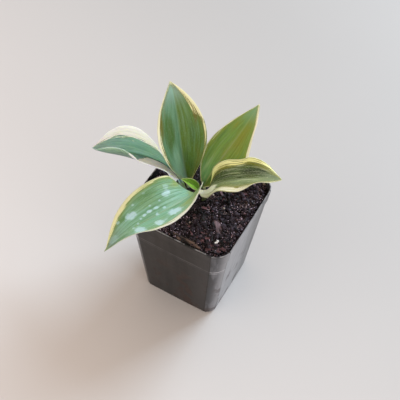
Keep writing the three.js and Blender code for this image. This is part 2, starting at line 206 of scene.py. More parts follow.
# The pot: a 9 cm square nursery pot of thin black-grey polypropylene, moulded in one shot with a
# stepped rim band and drain holes. Its corners are cones that meet the flat sides at a soft crease.
POT_HEIGHT = 0.110
POT_HALF_TOP = 0.0442
POT_HALF_BASE = 0.034
POT_CORNER_TOP = 0.0156
POT_CORNER_BASE = 0.0108
POT_CREASE = radians(18)
POT_WALL = 0.0011
POT_FLOOR = 0.0016
POT_BAND_HEIGHT = 0.014
POT_BAND_STEP = 0.0008
POT_SIDE_STEPS = 12
POT_ARC_STEPS = 14
POT_SIDE_BOW = 0.0003
POT_FOOT_INSET = 0.0012
POT_FOOT_EDGE = 0.0012
POT_PLAIN_RISE = 0.0868
POT_PLAIN_RINGS = 8
DRAIN_RADIUS = 0.0035
DRAIN_OFFSET = 0.020
POT_DARK = (0.0045, 0.0045, 0.0055)
POT_LIGHT = (0.010, 0.0094, 0.0098)
# A painted sheen on the front, growing toward the right crease
PAINTED_SHEEN_BY_CREASE = (0.033, 0.033, 0.036)
# The corner cones are painted light, darker toward the front and lighter toward the lit right side
PAINTED_CORNER_SHADE = (0.013, 0.014, 0.017)
PAINTED_CORNER_LIGHT = (0.060, 0.062, 0.072)
# A painted sheen on the pot's right side, light at its front and fading toward its back
PAINTED_SHEEN_AT_FRONT = (0.25, 0.26, 0.28)
PAINTED_SHEEN_AT_BACK = (0.030, 0.031, 0.035)
# Pale rubs on the corners, partly wear and partly painted light, stronger toward the lit right side
PALE_RUB_AND_PAINTED_LIGHT = (0.22, 0.225, 0.25)
DRIED_SOIL = (0.055, 0.034, 0.028)
DUST = (0.16, 0.15, 0.14)
# The colour of the painted highlight lines round the pot
PAINTED_HIGHLIGHT_LINE = (0.75, 0.76, 0.80)
# A painted highlight along the lip, partly wear, broken into dashes
PAINTED_LIP_HIGHLIGHT_AND_WEAR = (0.30, 0.30, 0.31)
# A painted shade line along each crease
PAINTED_SHADE_IN_CREASE = (0.003, 0.003, 0.003)
# The height and the strength of each painted highlight line round the pot
PAINTED_HIGHLIGHT_LINES = ((0.0800, 0.45), (0.0826, 0.95))


def only(geometry, kind):
    """The vertices or the edges of what a mesh operator gives back."""
    return [element for element in geometry if isinstance(element, kind)]


def raised(tree, skin, height, depth):
    """Turns a height that changes over the surface into bumps of a depth in metres."""
    bump = shader_node(tree, "ShaderNodeBump", {"Height": height, "Distance": depth, "Strength": 1.0})
    tree.links.new(bump.outputs["Normal"], skin.inputs["Normal"])


def piece_from(bm, name, material):
    """A finished piece from a bmesh: smooth, riding on the part's one body."""
    piece = object_from(bm, name, material)
    piece.data.shade_smooth()
    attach(piece, "root")
    return piece


def round_square(turn, half, radius):
    """A point of a square with round corners, for a turn of 0 to 4 round its sides."""
    side, share = divmod(turn, 1.0)
    steps = share * (POT_SIDE_STEPS + POT_ARC_STEPS)
    centre = half - radius * cos(POT_CREASE)
    flat = centre + radius * sin(POT_CREASE)
    if steps <= POT_SIDE_STEPS:
        across = 2 * steps / POT_SIDE_STEPS - 1
        point = Vector((half + POT_SIDE_BOW * (1 - across * across), flat * across, 0))
    else:
        angle = POT_CREASE + (steps - POT_SIDE_STEPS) / POT_ARC_STEPS * (pi / 2 - 2 * POT_CREASE)
        point = Vector((centre + radius * cos(angle), centre + radius * sin(angle), 0))
    return Matrix.Rotation(side * pi / 2, 3, "Z") @ point


def pot_half_at(height):
    return POT_HALF_BASE + (POT_HALF_TOP - POT_HALF_BASE) * height / POT_HEIGHT


def pot_radius_at(height):
    return POT_CORNER_BASE + (POT_CORNER_TOP - POT_CORNER_BASE) * height / POT_HEIGHT


def set_ring(vertices, turn_layer, height, outwards):
    """Sets a ring of vertices at a height of the pot, moved outwards from its outer face."""
    for vertex in vertices:
        half = pot_half_at(height) + outwards
        vertex.co = round_square(vertex[turn_layer], half, pot_radius_at(height) + outwards)
        vertex.co.z = height


def draw_up(bm, ring, turn_layer, height, outwards):
    """Draws the open edge of a wall on to the next ring."""
    grown = bmesh.ops.extrude_edge_only(bm, edges=ring)["geom"]
    set_ring(only(grown, bmesh.types.BMVert), turn_layer, height, outwards)
    return only(grown, bmesh.types.BMEdge)


def first_ring(bm, turn_layer, height, outwards):
    """A ring to draw a wall from, with each vertex's turn round the pot kept on it."""
    count = 4 * (POT_SIDE_STEPS + POT_ARC_STEPS)
    ring = bmesh.ops.create_circle(bm, segments=count, radius=1.0)["verts"]
    for number, vertex in enumerate(ring):
        vertex[turn_layer] = 4 * number / count
    set_ring(ring, turn_layer, height, outwards)
    return list({edge for vertex in ring for edge in vertex.link_edges})


# The wall in section, up its outer face, over the lip and down its inner face: each ring's height
# and how far it lies outside the outer face
band_foot = POT_HEIGHT - POT_BAND_HEIGHT
band = POT_BAND_STEP
band_inside = POT_BAND_STEP - POT_WALL
outer_side = [(0.0003, -0.0004)]
for number in range(POT_PLAIN_RINGS + 1):
    outer_side.append((POT_FOOT_EDGE + POT_PLAIN_RISE * number / POT_PLAIN_RINGS, 0.0))
outer_band = [
    (band_foot - 0.0003, 0.0001), (band_foot + 0.0002, band * 0.7), (band_foot + 0.0007, band),
    (band_foot + 0.004, band), (POT_HEIGHT - 0.0030, band), (POT_HEIGHT - 0.0022, band + 0.0001),
]
lip = [
    (POT_HEIGHT - 0.0006, band), (POT_HEIGHT - 0.0001, band - 0.0002), (POT_HEIGHT, band - POT_WALL / 2),
    (POT_HEIGHT - 0.0001, band_inside + 0.0002), (POT_HEIGHT - 0.0006, band_inside),
]
inner_side = [
    (band_foot + 0.0006, band_inside), (band_foot - 0.0002, -POT_WALL), (0.05, -POT_WALL),
    (POT_FLOOR, -POT_WALL),
]
pot_mesh = bmesh.new()
turn = pot_mesh.verts.layers.float.new("turn")
under_edge = first_ring(pot_mesh, turn, 0.0, -POT_FOOT_INSET)
open_edge = list(under_edge)
for height, outwards in outer_side + outer_band + lip + inner_side:
    open_edge = draw_up(pot_mesh, open_edge, turn, height, outwards)
bmesh.ops.edgeloop_fill(pot_mesh, edges=open_edge)
bmesh.ops.edgeloop_fill(pot_mesh, edges=under_edge)
bmesh.ops.recalc_face_normals(pot_mesh, faces=pot_mesh.faces)

# Where a point lies on the pot: on a corner, on a crease, or on the right side, front or back
pot_material, tree, skin = finish_of("pot_polypropylene", specular=0.24, sheen=0.02)
here = place_on_piece(tree)
at_x, at_y, at_z = shader_node(tree, "ShaderNodeSeparateXYZ", {"Vector": here}).outputs
off_x = sum_of(tree, "ABSOLUTE", at_x)
off_y = sum_of(tree, "ABSOLUTE", at_y)
crease_base = POT_HALF_BASE - POT_CORNER_BASE * (cos(POT_CREASE) - sin(POT_CREASE))
crease_top = POT_HALF_TOP - POT_CORNER_TOP * (cos(POT_CREASE) - sin(POT_CREASE))
crease_lean = (crease_top - crease_base) / POT_HEIGHT
crease_place = sum_of(tree, "MULTIPLY_ADD", at_z, crease_lean, crease_base)
past_crease = sum_of(tree, "SUBTRACT", sum_of(tree, "MINIMUM", off_x, off_y), crease_place)
on_corner = ramp_between(tree, past_crease, -0.0002, 0.0003)
# Where the painted shade line along each crease lies
painted_shade_in_crease = product(
    tree, ramp_between(tree, past_crease, -0.0009, -0.0003),
    ramp_between(tree, past_crease, -0.0002, 0.0004, 1.0, 0.0),
)
to_the_right = ramp_between(tree, at_x, -0.01, 0.01)
round_corner = sum_of(tree, "SUBTRACT", off_x, off_y)
past_front = product(tree, ramp_between(tree, round_corner, -0.010, 0.004), to_the_right)
# Where the painted sheen of the right side lies
painted_sheen_mask = product(tree, ramp_between(tree, round_corner, -0.004, 0.010), to_the_right)
# Where the painted sheen beside the right crease lies
painted_sheen_by_crease = product(tree, ramp_between(tree, past_crease, -0.024, -0.003), to_the_right)
far_back = ramp_between(tree, at_y, -0.015, 0.036)

# Wear, dirt and painted light: corners rubbed pale and painted lighter toward the lit right side, a
# worn lip with a painted highlight, dried soil low down, fine dust and painted highlight lines
drawn_streaks = speckle(tree, here, 150.0, 4.0, stretch=(1, 1, 0.12))
patches = speckle(tree, here, 70.0, 4.0)
# The pale rubs, partly painted light, follow the drawn streaks and grow toward the lit right side
rub_and_painted_light = product(tree, on_corner, ramp_between(tree, drawn_streaks, 0.45, 0.60))
rub_and_painted_light = product(tree, rub_and_painted_light, sum_of(tree, "MULTIPLY_ADD", past_front, 0.7, 0.3))
low_down = ramp_between(tree, at_z, 0.03, 0.085, 1.0, 0.1)
smudges = product(tree, drawn_streaks, ramp_between(tree, patches, 0.42, 0.62))
dusty = product(tree, ramp_between(tree, smudges, 0.25, 0.6), low_down)
fine_dust = ramp_between(tree, speckle(tree, here, 900.0, 2.0), 0.62, 0.75)
# The lip's painted highlight, partly wear, broken into dashes
lip_dashes = ramp_between(tree, speckle(tree, here, 210.0, 3.0), 0.42, 0.6)
lip_highlight_and_wear_mask = product(tree, ramp_between(tree, at_z, 0.1092, 0.1098), lip_dashes)
# The painted highlight lines waver a little, break up, and are strongest on the corners
waver = sum_of(tree, "MULTIPLY_ADD", speckle(tree, here, 40.0, 2.0), 0.0024, at_z)
broken = ramp_between(tree, patches, 0.30, 0.52)
reach = ramp_between(tree, past_crease, -0.0010, 0.0020, 0.12, 1.0)
painted_highlight_layers = []
for line_height, strength in PAINTED_HIGHLIGHT_LINES:
    off_line = sum_of(tree, "ABSOLUTE", sum_of(tree, "SUBTRACT", waver, line_height))
    line = product(tree, ramp_between(tree, off_line, 0.0001, 0.0006, strength, 0.0), broken)
    painted_highlight_layers.append((PAINTED_HIGHLIGHT_LINE, line, reach))
colour = layered(tree, blended(tree, ramp_between(tree, patches, 0.3, 0.7), POT_DARK, POT_LIGHT), [
    # painted sheen beside the right crease
    (PAINTED_SHEEN_BY_CREASE, painted_sheen_by_crease, 0.7),
    # corners painted lighter toward the lit right side
    (blended(tree, past_front, PAINTED_CORNER_SHADE, PAINTED_CORNER_LIGHT), on_corner, 1.0),
    # painted sheen on the right side
    (blended(tree, far_back, PAINTED_SHEEN_AT_FRONT, PAINTED_SHEEN_AT_BACK), painted_sheen_mask, 1.0),
    # rubs that are partly painted light
    (PALE_RUB_AND_PAINTED_LIGHT, rub_and_painted_light, 0.8),
    (DRIED_SOIL, dusty, 0.6),
    (DUST, fine_dust, 0.12),
    # painted highlight lines
    *painted_highlight_layers,
    # painted highlight and wear on the lip
    (PAINTED_LIP_HIGHLIGHT_AND_WEAR, lip_highlight_and_wear_mask, 0.8),
    # painted shade along each crease
    (PAINTED_SHADE_IN_CREASE, painted_shade_in_crease, 0.9),
])
tree.links.new(colour, skin.inputs["Base Color"])
shine = ramp_between(tree, drawn_streaks, 0.3, 0.7, 0.28, 0.36)
tree.links.new(sum_of(tree, "MULTIPLY_ADD", dusty, 0.2, shine), skin.inputs["Roughness"])
raised(tree, skin, sum_of(tree, "ADD", speckle(tree, here, 260.0, 3.0), drawn_streaks), 0.00004)

pot = piece_from(pot_mesh, "nursery_pot", pot_material)
drill_mesh = bmesh.new()
for x in (-DRAIN_OFFSET, 0, DRAIN_OFFSET):
    for y in (-DRAIN_OFFSET, 0, DRAIN_OFFSET):
        if x or y:
            bmesh.ops.create_cone(
                drill_mesh, cap_ends=True, segments=32, radius1=DRAIN_RADIUS, radius2=DRAIN_RADIUS,
                depth=4 * POT_FLOOR, matrix=Matrix.Translation((x, y, 0)),
            )
drill = object_from(drill_mesh, "drain_drill")
cut = pot.modifiers.new("drain holes", "BOOLEAN")
cut.object = drill
cut.solver = "EXACT"
cut_pot = pot.evaluated_get(bpy.context.evaluated_depsgraph_get())
cut_mesh = bpy.data.meshes.new_from_object(cut_pot)
pot.modifiers.clear()
pot.data = cut_mesh
bpy.data.objects.remove(drill)
pot.data.set_sharp_from_angle(angle=POT_CREASE / 2)
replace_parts(pot, "pot")


# The compost: damp dark peat with bark fines, filled by hand to a little under the rim. The body
# is one closed lump in the pot, with crumbs loose on its rough top. The crumbs are lighter away
# from the stalks.
SOIL_TOP = 0.1048
SOIL_FALL_X = 0.018
SOIL_FALL_Y = 0.020
SOIL_SWELL = 0.0007
SOIL_GAP = 0.0003
SOIL_CORNER = 0.0119
SOIL_SHOULDER = 0.0012
SOIL_COLUMNS = 230
SOIL_ROUGHNESS = ((0.0016, 110.0), (0.0012, 300.0), (0.0007, 800.0))
SOIL_DARK = (0.0015, 0.0012, 0.0015)
SOIL_LIGHT = (0.026, 0.017, 0.021)
SOIL_GRAIN = (0.19, 0.14, 0.165)
CROWN_PLACE = Vector((-0.0052, 0.0030))
CROWN_HEAP = 0.0012
CROWN_SPREAD = 0.009
# Each kind of crumb: its name, number, smallest and largest size, and darkest and lightest colour
CRUMB_KINDS = (
    ("soil_crumbs_dark", 1800, 0.0005, 0.0022, (0.0010, 0.0008, 0.0012), (0.044, 0.032, 0.046)),
    ("soil_crumbs_brown", 1020, 0.0003, 0.0009, (0.005, 0.003, 0.004), (0.23, 0.140, 0.150)),
    # The lightest plum crumbs are partly painted glints of damp crumbs
    ("plum_crumbs_and_painted_glints", 2700, 0.0002, 0.0006, (0.008, 0.007, 0.010), (0.86, 0.70, 0.86)),
)
CRUMB_STRETCHES = ((0.8, 1.7), (0.6, 1.1), (0.5, 0.9))
CRUMB_UNEVENNESS = 0.22
CRUMB_BATCH = 60
CRUMB_PATCH_SCALE = 55.0
LIGHTER_OUTWARDS = 20.0
DARK_REACH_ROUND_STALKS = 0.021
MOST_LIGHTENING = 0.34
# Places that nothing loose lies on, in millimetres with their radius: the stalks, the perlite
# grain and the middle of the front chip
CLEAR_PLACES = ((-5.2, 3.0, 6.0), (29.6, -28.8, 2.6), (9.8, -39.4, 3.0))


def soil_height(x, y):
    """The compost's surface, falling gently to the back and right, with low swells."""
    across, depth = x * 1000, y * 1000
    broad = sin(across / 9 + 1.3) * cos(depth / 8 - 0.6)
    fine = 0.5 * sin(across / 3.1 - depth / 4.3)
    return SOIL_TOP - SOIL_FALL_X * x - SOIL_FALL_Y * y + SOIL_SWELL * (broad + fine)


def rough_soil_height(x, y):
    """The surface with its clods and crumbs, heaped a little round the stalks."""
    height = soil_height(x, y)
    for size, scale in SOIL_ROUGHNESS:
        height += size * noise.noise(Vector((x * scale, y * scale, size * 9000)))
    away = (Vector((x, y)) - CROWN_PLACE).length
    return height + CROWN_HEAP * exp(-((away / CROWN_SPREAD) ** 2))


def inside_square(x, y, half, radius):
    """Moves a point of the square from -1 to 1 to the same place in a round-cornered one."""
    centre = 1 - radius / half
    if abs(x) > centre and abs(y) > centre:
        a = (abs(x) - centre) / (1 - centre)
        b = (abs(y) - centre) / (1 - centre)
        a, b = a * sqrt(1 - b * b / 2), b * sqrt(1 - a * a / 2)
        x = (centre + a * (1 - centre)) * (1 if x > 0 else -1)
        y = (centre + b * (1 - centre)) * (1 if y > 0 else -1)
    return x * half, y * half


soil_half = pot_half_at(SOIL_TOP) + POT_BAND_STEP - POT_WALL - SOIL_GAP
soil_mesh = bmesh.new()
bmesh.ops.create_grid(soil_mesh, x_segments=SOIL_COLUMNS, y_segments=SOIL_COLUMNS, size=1.0)
for vertex in soil_mesh.verts:
    x, y = inside_square(vertex.co.x, vertex.co.y, soil_half, SOIL_CORNER)
    taper = pot_half_at(soil_height(x, y)) / pot_half_at(SOIL_TOP)
    vertex.co = (x * taper, y * taper, rough_soil_height(x, y))
soil_edge = [edge for edge in soil_mesh.edges if edge.is_boundary]
for height, outwards in (
    (band_foot + SOIL_SHOULDER, POT_BAND_STEP - POT_WALL),
    (band_foot, -POT_WALL),
    (POT_FLOOR + SOIL_GAP, -POT_WALL),
):
    grown = bmesh.ops.extrude_edge_only(soil_mesh, edges=soil_edge)["geom"]
    rim = only(grown, bmesh.types.BMVert)
    widest = max(abs(v.co.x) for v in rim)
    half = pot_half_at(height) + outwards - SOIL_GAP
    for vertex in rim:
        vertex.co = (vertex.co.x / widest * half, vertex.co.y / widest * half, height)
    soil_edge = only(grown, bmesh.types.BMEdge)
bmesh.ops.edgeloop_fill(soil_mesh, edges=soil_edge)
bmesh.ops.recalc_face_normals(soil_mesh, faces=soil_mesh.faces)

soil_material, tree, skin = finish_of("damp_compost", specular=0.08)
here = place_on_piece(tree)
clods = speckle(tree, here, 140.0, 5.0)
grains = speckle(tree, here, 900.0, 3.0)
colour = blended(tree, ramp_between(tree, clods, 0.38, 0.68), SOIL_DARK, SOIL_LIGHT)
colour = blended(tree, ramp_between(tree, grains, 0.56, 0.68), colour, SOIL_GRAIN)
tree.links.new(colour, skin.inputs["Base Color"])
damp = shader_node(tree, "ShaderNodeMapRange", {"Value": grains, "To Min": 0.4, "To Max": 0.8})
tree.links.new(damp.outputs["Result"], skin.inputs["Roughness"])
raised(tree, skin, sum_of(tree, "ADD", clods, grains), 0.0006)
soil = piece_from(soil_mesh, "compost_body", soil_material)
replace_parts(soil, "soil")


def effect_group(name, colours, numbers, results):
    """A new shader group, with what is given to it and where its results go."""
    group = bpy.data.node_groups.new(name, "ShaderNodeTree")
    for colour in colours:
        group.interface.new_socket(colour, in_out="INPUT", socket_type="NodeSocketColor")
    for number, default in numbers.items():
        socket = group.interface.new_socket(number, in_out="INPUT", socket_type="NodeSocketFloat")
        socket.default_value = default
    for result, kind in results.items():
        group.interface.new_socket(result, in_out="OUTPUT", socket_type="NodeSocket" + kind)
    given = group.nodes.new("NodeGroupInput").outputs
    return group, given, group.nodes.new("NodeGroupOutput").inputs


def placed(tree, group, values):
    """The results of a group placed in a material with the material's own values."""
    node = shader_node(tree, "ShaderNodeGroup", node_tree=group)
    for name, value in values.items():
        feed(tree, node.inputs[name], value)
    return node.outputs


def value_on(tree, name):
    """A number that the mesh keeps for each of its points."""
    return shader_node(tree, "ShaderNodeAttribute", attribute_name=name).outputs["Fac"]


def earth_group():
    """Crumbly matter between two colours, with a grain of its own and a tone for each crumb."""
    results = {"Colour": "Color", "Height": "Float"}
    tree, given, result = effect_group("Crumbly earth", ("Dark", "Light"), {"Grain Scale": 1500.0}, results)
    here = place_on_piece(tree)
    grain = speckle(tree, here, given["Grain Scale"], 4.0)
    tone = sum_of(tree, "MULTIPLY_ADD", value_on(tree, "crumb_tone"), 0.8, -0.2)
    share = sum_of(tree, "MULTIPLY_ADD", grain, 0.6, tone)
    colour = blended(tree, ramp_between(tree, share, 0.28, 0.95), given["Dark"], given["Light"])
    tree.links.new(colour, result["Colour"])
    roughness_scale = product(tree, given["Grain Scale"], 2.0)
    tree.links.new(speckle(tree, here, roughness_scale, 3.0), result["Height"])
    return tree


crumbly_earth = earth_group()


def earth_finish(name, dark, light, scale):
    """The finish of one kind of loose earth."""
    material, tree, skin = finish_of(name, specular=0.3)
    earth = placed(tree, crumbly_earth, {"Dark": dark, "Light": light, "Grain Scale": scale})
    tree.links.new(earth["Colour"], skin.inputs["Base Color"])
    raised(tree, skin, earth["Height"], 0.0003)
    return material


def toned_mesh():
    """An empty mesh that keeps a tone for each of its points."""
    bm = bmesh.new()
    return bm, bm.verts.layers.float.new("crumb_tone")


def add_batch(everything, batch):
    """Moves a few small shapes into the mesh of all of them."""
    data = bpy.data.meshes.new("batch")
    batch.to_mesh(data)
    batch.free()
    everything.from_mesh(data)
    bpy.data.meshes.remove(data)


def free_spot(margin):
    """A random place on the compost, inside the pot's wall and off the clear places."""
    reach = soil_half - margin
    while True:
        x = random.uniform(-reach, reach)
        y = random.uniform(-reach, reach)
        centre = reach - SOIL_CORNER
        past = hypot(max(0, abs(x) - centre), max(0, abs(y) - centre))
        apart = min(
            hypot(x * 1000 - place_x, y * 1000 - place_y) - radius
            for place_x, place_y, radius in CLEAR_PLACES
        )
        if past < SOIL_CORNER and apart > 0:
            return x, y


def jolt(reach):
    """A small random shift, the same reach along each axis."""
    return Vector([random.uniform(-reach, reach) for _ in range(3)])


def add_crumb(bm, tone, smallest, largest):
    """One loose crumb on the compost: a small lump with a few uneven faces."""
    size = smallest + (largest - smallest) * random.random() ** 2.5
    x, y = free_spot(0.0008 + size)
    shape = Euler([random.uniform(0, 2 * pi) for _ in range(3)]).to_matrix().to_4x4()
    stretch = Matrix.Diagonal([random.uniform(*span) for span in CRUMB_STRETCHES] + [1])
    place = Matrix.Translation((x, y, rough_soil_height(x, y) + 0.25 * size))
    lie = place @ shape @ stretch
    crumb = bmesh.ops.create_icosphere(bm, subdivisions=1, radius=size, matrix=lie)
    patch_shade = 0.5 + 0.9 * noise.noise(Vector((x, y, 0.05)) * CRUMB_PATCH_SCALE)
    past_dark_reach = (Vector((x, y)) - CROWN_PLACE).length - DARK_REACH_ROUND_STALKS
    outward_lightening = min(MOST_LIGHTENING, LIGHTER_OUTWARDS * past_dark_reach)
    shade = 0.95 * random.random() ** 2.1 + 0.30 * patch_shade + outward_lightening
    for vertex in crumb["verts"]:
        vertex[tone] = shade
        vertex.co += jolt(CRUMB_UNEVENNESS) * size


random.seed(11)
for name, count, smallest, largest, dark, light in CRUMB_KINDS:
    crumbs, _ = toned_mesh()
    for _ in range(0, count, CRUMB_BATCH):
        batch, tone = toned_mesh()
        for _ in range(CRUMB_BATCH):
            add_crumb(batch, tone, smallest, largest)
        add_batch(crumbs, batch)
    piece = piece_from(crumbs, name, earth_finish(name, dark, light, 1500.0))
    piece.data.shade_flat()


# Fibres and flakes in the compost: peat fibres like short bent threads, thin flakes of bark that
# lie thicker in the front corner, and a few light grains, all half sunk.
FIBRE_COUNT = 260
FIBRE_LENGTHS = (0.003, 0.009)
FIBRE_BEND = 1.2
FIBRE_RADII = (0.00012, 0.00028)
FIBRE_DARK = (0.02, 0.013, 0.012)
FIBRE_LIGHT = (0.32, 0.22, 0.20)
FLAKE_COUNT = 165
FLAKE_LENGTHS = (0.0014, 0.0048)
FLAKE_WIDTH_SHARES = (0.25, 0.6)
FLAKE_THICKNESSES = (0.0003, 0.0008)
FLAKE_UNEVENNESS = 0.09
FLAKE_DARK = (0.005, 0.003, 0.004)
FLAKE_LIGHT = (0.18, 0.086, 0.100)
FRONT_CORNER = Vector((0.036, -0.036))
GRAIN_DARK = (0.35, 0.29, 0.24)
GRAIN_LIGHT = (0.62, 0.56, 0.48)
# Each light grain's place to the right and to the back, and its radius, in millimetres
LIGHT_GRAINS = (
    (35.7, 41.5, 1.3), (6.4, 9.0, 0.9), (3.5, -22.7, 0.8), (19.5, 3.2, 0.9), (-14.0, -30.0, 0.6),
)

fibres, _ = toned_mesh()
for _ in range(FIBRE_COUNT):
    x, y = free_spot(0.004)
    length = random.uniform(*FIBRE_LENGTHS)
    heading = random.uniform(0, 2 * pi)
    bend = random.uniform(-FIBRE_BEND, FIBRE_BEND)
    radius = random.uniform(*FIBRE_RADII)
    shade = random.random()
    fibre, tone = toned_mesh()
    bmesh.ops.create_cone(
        fibre, cap_ends=True, segments=5, radius1=radius, radius2=radius * 0.5, depth=length,
        matrix=Matrix.Rotation(pi / 2, 4, "Y"),
    )
    long_edges = [edge for edge in fibre.edges if edge.calc_length() > length / 2]
    bmesh.ops.subdivide_edges(fibre, edges=long_edges, cuts=6)
    for vertex in fibre.verts:
        turned = heading + bend * vertex.co.x / length
        middle = Vector((cos(turned), sin(turned), 0)) * vertex.co.x + Vector((x, y, 0))
        across = Vector((-sin(turned), cos(turned), 0)) * vertex.co.y
        ground = rough_soil_height(middle.x, middle.y) + 0.0003
        vertex.co = middle + across + Vector((0, 0, ground + vertex.co.z))
        vertex[tone] = shade
    add_batch(fibres, fibre)
look = earth_finish("peat_fibre", FIBRE_DARK, FIBRE_LIGHT, 900.0)
piece_from(fibres, "soil_fibres", look)

flakes, _ = toned_mesh()
for number in range(FLAKE_COUNT):
    x, y = free_spot(0.003)
    if number % 3 == 0:
        x = FRONT_CORNER.x - abs(random.gauss(0, 0.013))
        y = FRONT_CORNER.y + abs(random.gauss(0, 0.006))
    length = random.uniform(*FLAKE_LENGTHS)
    lie = Euler((random.uniform(-0.5, 0.5), random.uniform(-0.4, 0.4), random.uniform(0, 2 * pi)))
    width = length * random.uniform(*FLAKE_WIDTH_SHARES)
    shape = Matrix.Diagonal((length, width, random.uniform(*FLAKE_THICKNESSES), 1))
    place = Matrix.Translation((x, y, rough_soil_height(x, y) + 0.0006))
    flake, tone = toned_mesh()
    bmesh.ops.create_cube(flake, size=1.0, matrix=place @ lie.to_matrix().to_4x4() @ shape)
    bmesh.ops.subdivide_edges(flake, edges=list(flake.edges), cuts=1, use_grid_fill=True)
    shade = random.random()
    for vertex in flake.verts:
        vertex[tone] = shade
        vertex.co += jolt(FLAKE_UNEVENNESS) * length * 0.5
    add_batch(flakes, flake)
look = earth_finish("bark_flake", FLAKE_DARK, FLAKE_LIGHT, 700.0)
piece_from(flakes, "soil_flakes", look).data.shade_flat()

grain_mesh, grain_tone = toned_mesh()
for across, depth, size in LIGHT_GRAINS:
    x, y, radius = across / 1000, depth / 1000, size / 1000
    place = Matrix.Translation((x, y, rough_soil_height(x, y) + 0.4 * radius))
    lump = bmesh.ops.create_icosphere(grain_mesh, subdivisions=2, radius=radius, matrix=place)
    for vertex in lump["verts"]:
        vertex.co += vertex.normal * radius * 0.3 * noise.noise(vertex.co * 1500)
        vertex[grain_tone] = 0.5
look = earth_finish("light_grain", GRAIN_DARK, GRAIN_LIGHT, 600.0)
piece_from(grain_mesh, "light_grains", look)


# The two bark chips and the white perlite grain that lie in the compost's surface. The chips are
# split bark with a fibrous grain along them; perlite is puffed volcanic glass, chalky and rounded.
# Outlines, sizes and places are in millimetres and turns in degrees.
MM = 0.001
CHIP_BEVEL = 0.45
CHIP_GRAIN_DEPTH = 0.35
CHIP_LONGEST_EDGE = 0.55
CHIPS = (
    {
        "name": "front_bark_chip", "node": "bark_chip_front", "slot": "bark_tan",
        "outline": ((-13, -1.2), (-6, -2.5), (3, -2.3), (11, -1.6), (13, 0.2), (7, 1.9), (-4, 2.6), (-12, 1)),
        "thickness": 2.2, "place": (9.8, -39.4, 106), "turn": -2, "tilt": (10, 2),
        "dark": (0.005, 0.003, 0.003), "light": (0.185, 0.118, 0.092),
    },
    {
        "name": "long_bark_chip", "node": "bark_chip_long", "slot": "bark_pink",
        "outline": ((-8, -2), (-3, -2.9), (5, -2.4), (8.2, -0.6), (6, 1.9), (-1, 2.7), (-7, 1.5)),
        "thickness": 2.0, "place": (25.5, -16.5, 104.9), "turn": -47, "tilt": (-6, 4),
        "dark": (0.008, 0.005, 0.006), "light": (0.21, 0.14, 0.16),
    },
)
PERLITE_PLACE = Vector((30.0, -28.0, 105.6))
PERLITE_BALLS = ((0.25, 0.65, 0.0, 1.1), (0.45, -0.45, 0.0, 0.8), (-0.35, -1.35, -0.1, 0.85))
PERLITE_PORE = (0.75, 0.74, 0.72)
PERLITE_WHITE = (0.96, 0.96, 0.95)


def bark_group():
    """Split bark: long fibres along the chip, dark in the cracks."""
    results = {"Colour": "Color", "Height": "Float"}
    tree, given, result = effect_group("Split bark", ("Dark", "Light"), {"Turn Back": 0.0}, results)
    turn = shader_node(tree, "ShaderNodeCombineXYZ", {"Z": given["Turn Back"]}).outputs["Vector"]
    along_chip = {"Vector": place_on_piece(tree), "Rotation": turn}
    spun = shader_node(tree, "ShaderNodeMapping", along_chip).outputs["Vector"]
    fibres = speckle(tree, spun, 420.0, 5.0, stretch=(0.12, 1, 1))
    patches = speckle(tree, spun, 160.0, 3.0, stretch=(0.4, 1, 1))
    share = sum_of(tree, "ADD", product(tree, fibres, 0.7), product(tree, patches, 0.4))
    colour = blended(tree, ramp_between(tree, share, 0.49, 0.62), given["Dark"], given["Light"])
    tree.links.new(colour, result["Colour"])
    tree.links.new(fibres, result["Height"])
    return tree


split_bark = bark_group()

for chip in CHIPS:
    chip_mesh = bmesh.new()
    rim = [chip_mesh.verts.new((x, y, -chip["thickness"] / 2)) for x, y in chip["outline"]]
    underside = chip_mesh.faces.new(rim)
    grown = bmesh.ops.extrude_face_region(chip_mesh, geom=[underside])["geom"]
    risen = only(grown, bmesh.types.BMVert)
    bmesh.ops.translate(chip_mesh, verts=risen, vec=(0, 0, chip["thickness"]))
    bmesh.ops.bevel(
        chip_mesh, geom=list(chip_mesh.edges), affect="EDGES", offset=CHIP_BEVEL, segments=2,
        profile=0.5, material=-1,
    )
    bmesh.ops.triangulate(chip_mesh, faces=list(chip_mesh.faces))
    for _ in range(3):
        long_edges = [edge for edge in chip_mesh.edges if edge.calc_length() > CHIP_LONGEST_EDGE]
        bmesh.ops.subdivide_edges(chip_mesh, edges=long_edges, cuts=1)
        bmesh.ops.triangulate(chip_mesh, faces=list(chip_mesh.faces))
    bmesh.ops.recalc_face_normals(chip_mesh, faces=chip_mesh.faces)
    chip_mesh.normal_update()
    for vertex in chip_mesh.verts:
        x, y, z = vertex.co
        vertex.co += vertex.normal * CHIP_GRAIN_DEPTH * noise.noise(Vector((x * 0.25, y * 2.2, z * 2.2)))
    lie = Matrix.Translation(Vector(chip["place"]) * MM)
    for angle, axis in ((chip["turn"], "Z"), (chip["tilt"][1], "Y"), (chip["tilt"][0], "X")):
        lie = lie @ Matrix.Rotation(radians(angle), 4, axis)
    bmesh.ops.transform(chip_mesh, matrix=lie @ Matrix.Scale(MM, 4), verts=chip_mesh.verts)
    look, tree, skin = finish_of(chip["name"], roughness=0.9)
    values = {"Dark": chip["dark"], "Light": chip["light"], "Turn Back": -radians(chip["turn"])}
    bark = placed(tree, split_bark, values)
    tree.links.new(bark["Colour"], skin.inputs["Base Color"])
    raised(tree, skin, bark["Height"], 0.0012)
    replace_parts(piece_from(chip_mesh, chip["name"], look), chip["node"])

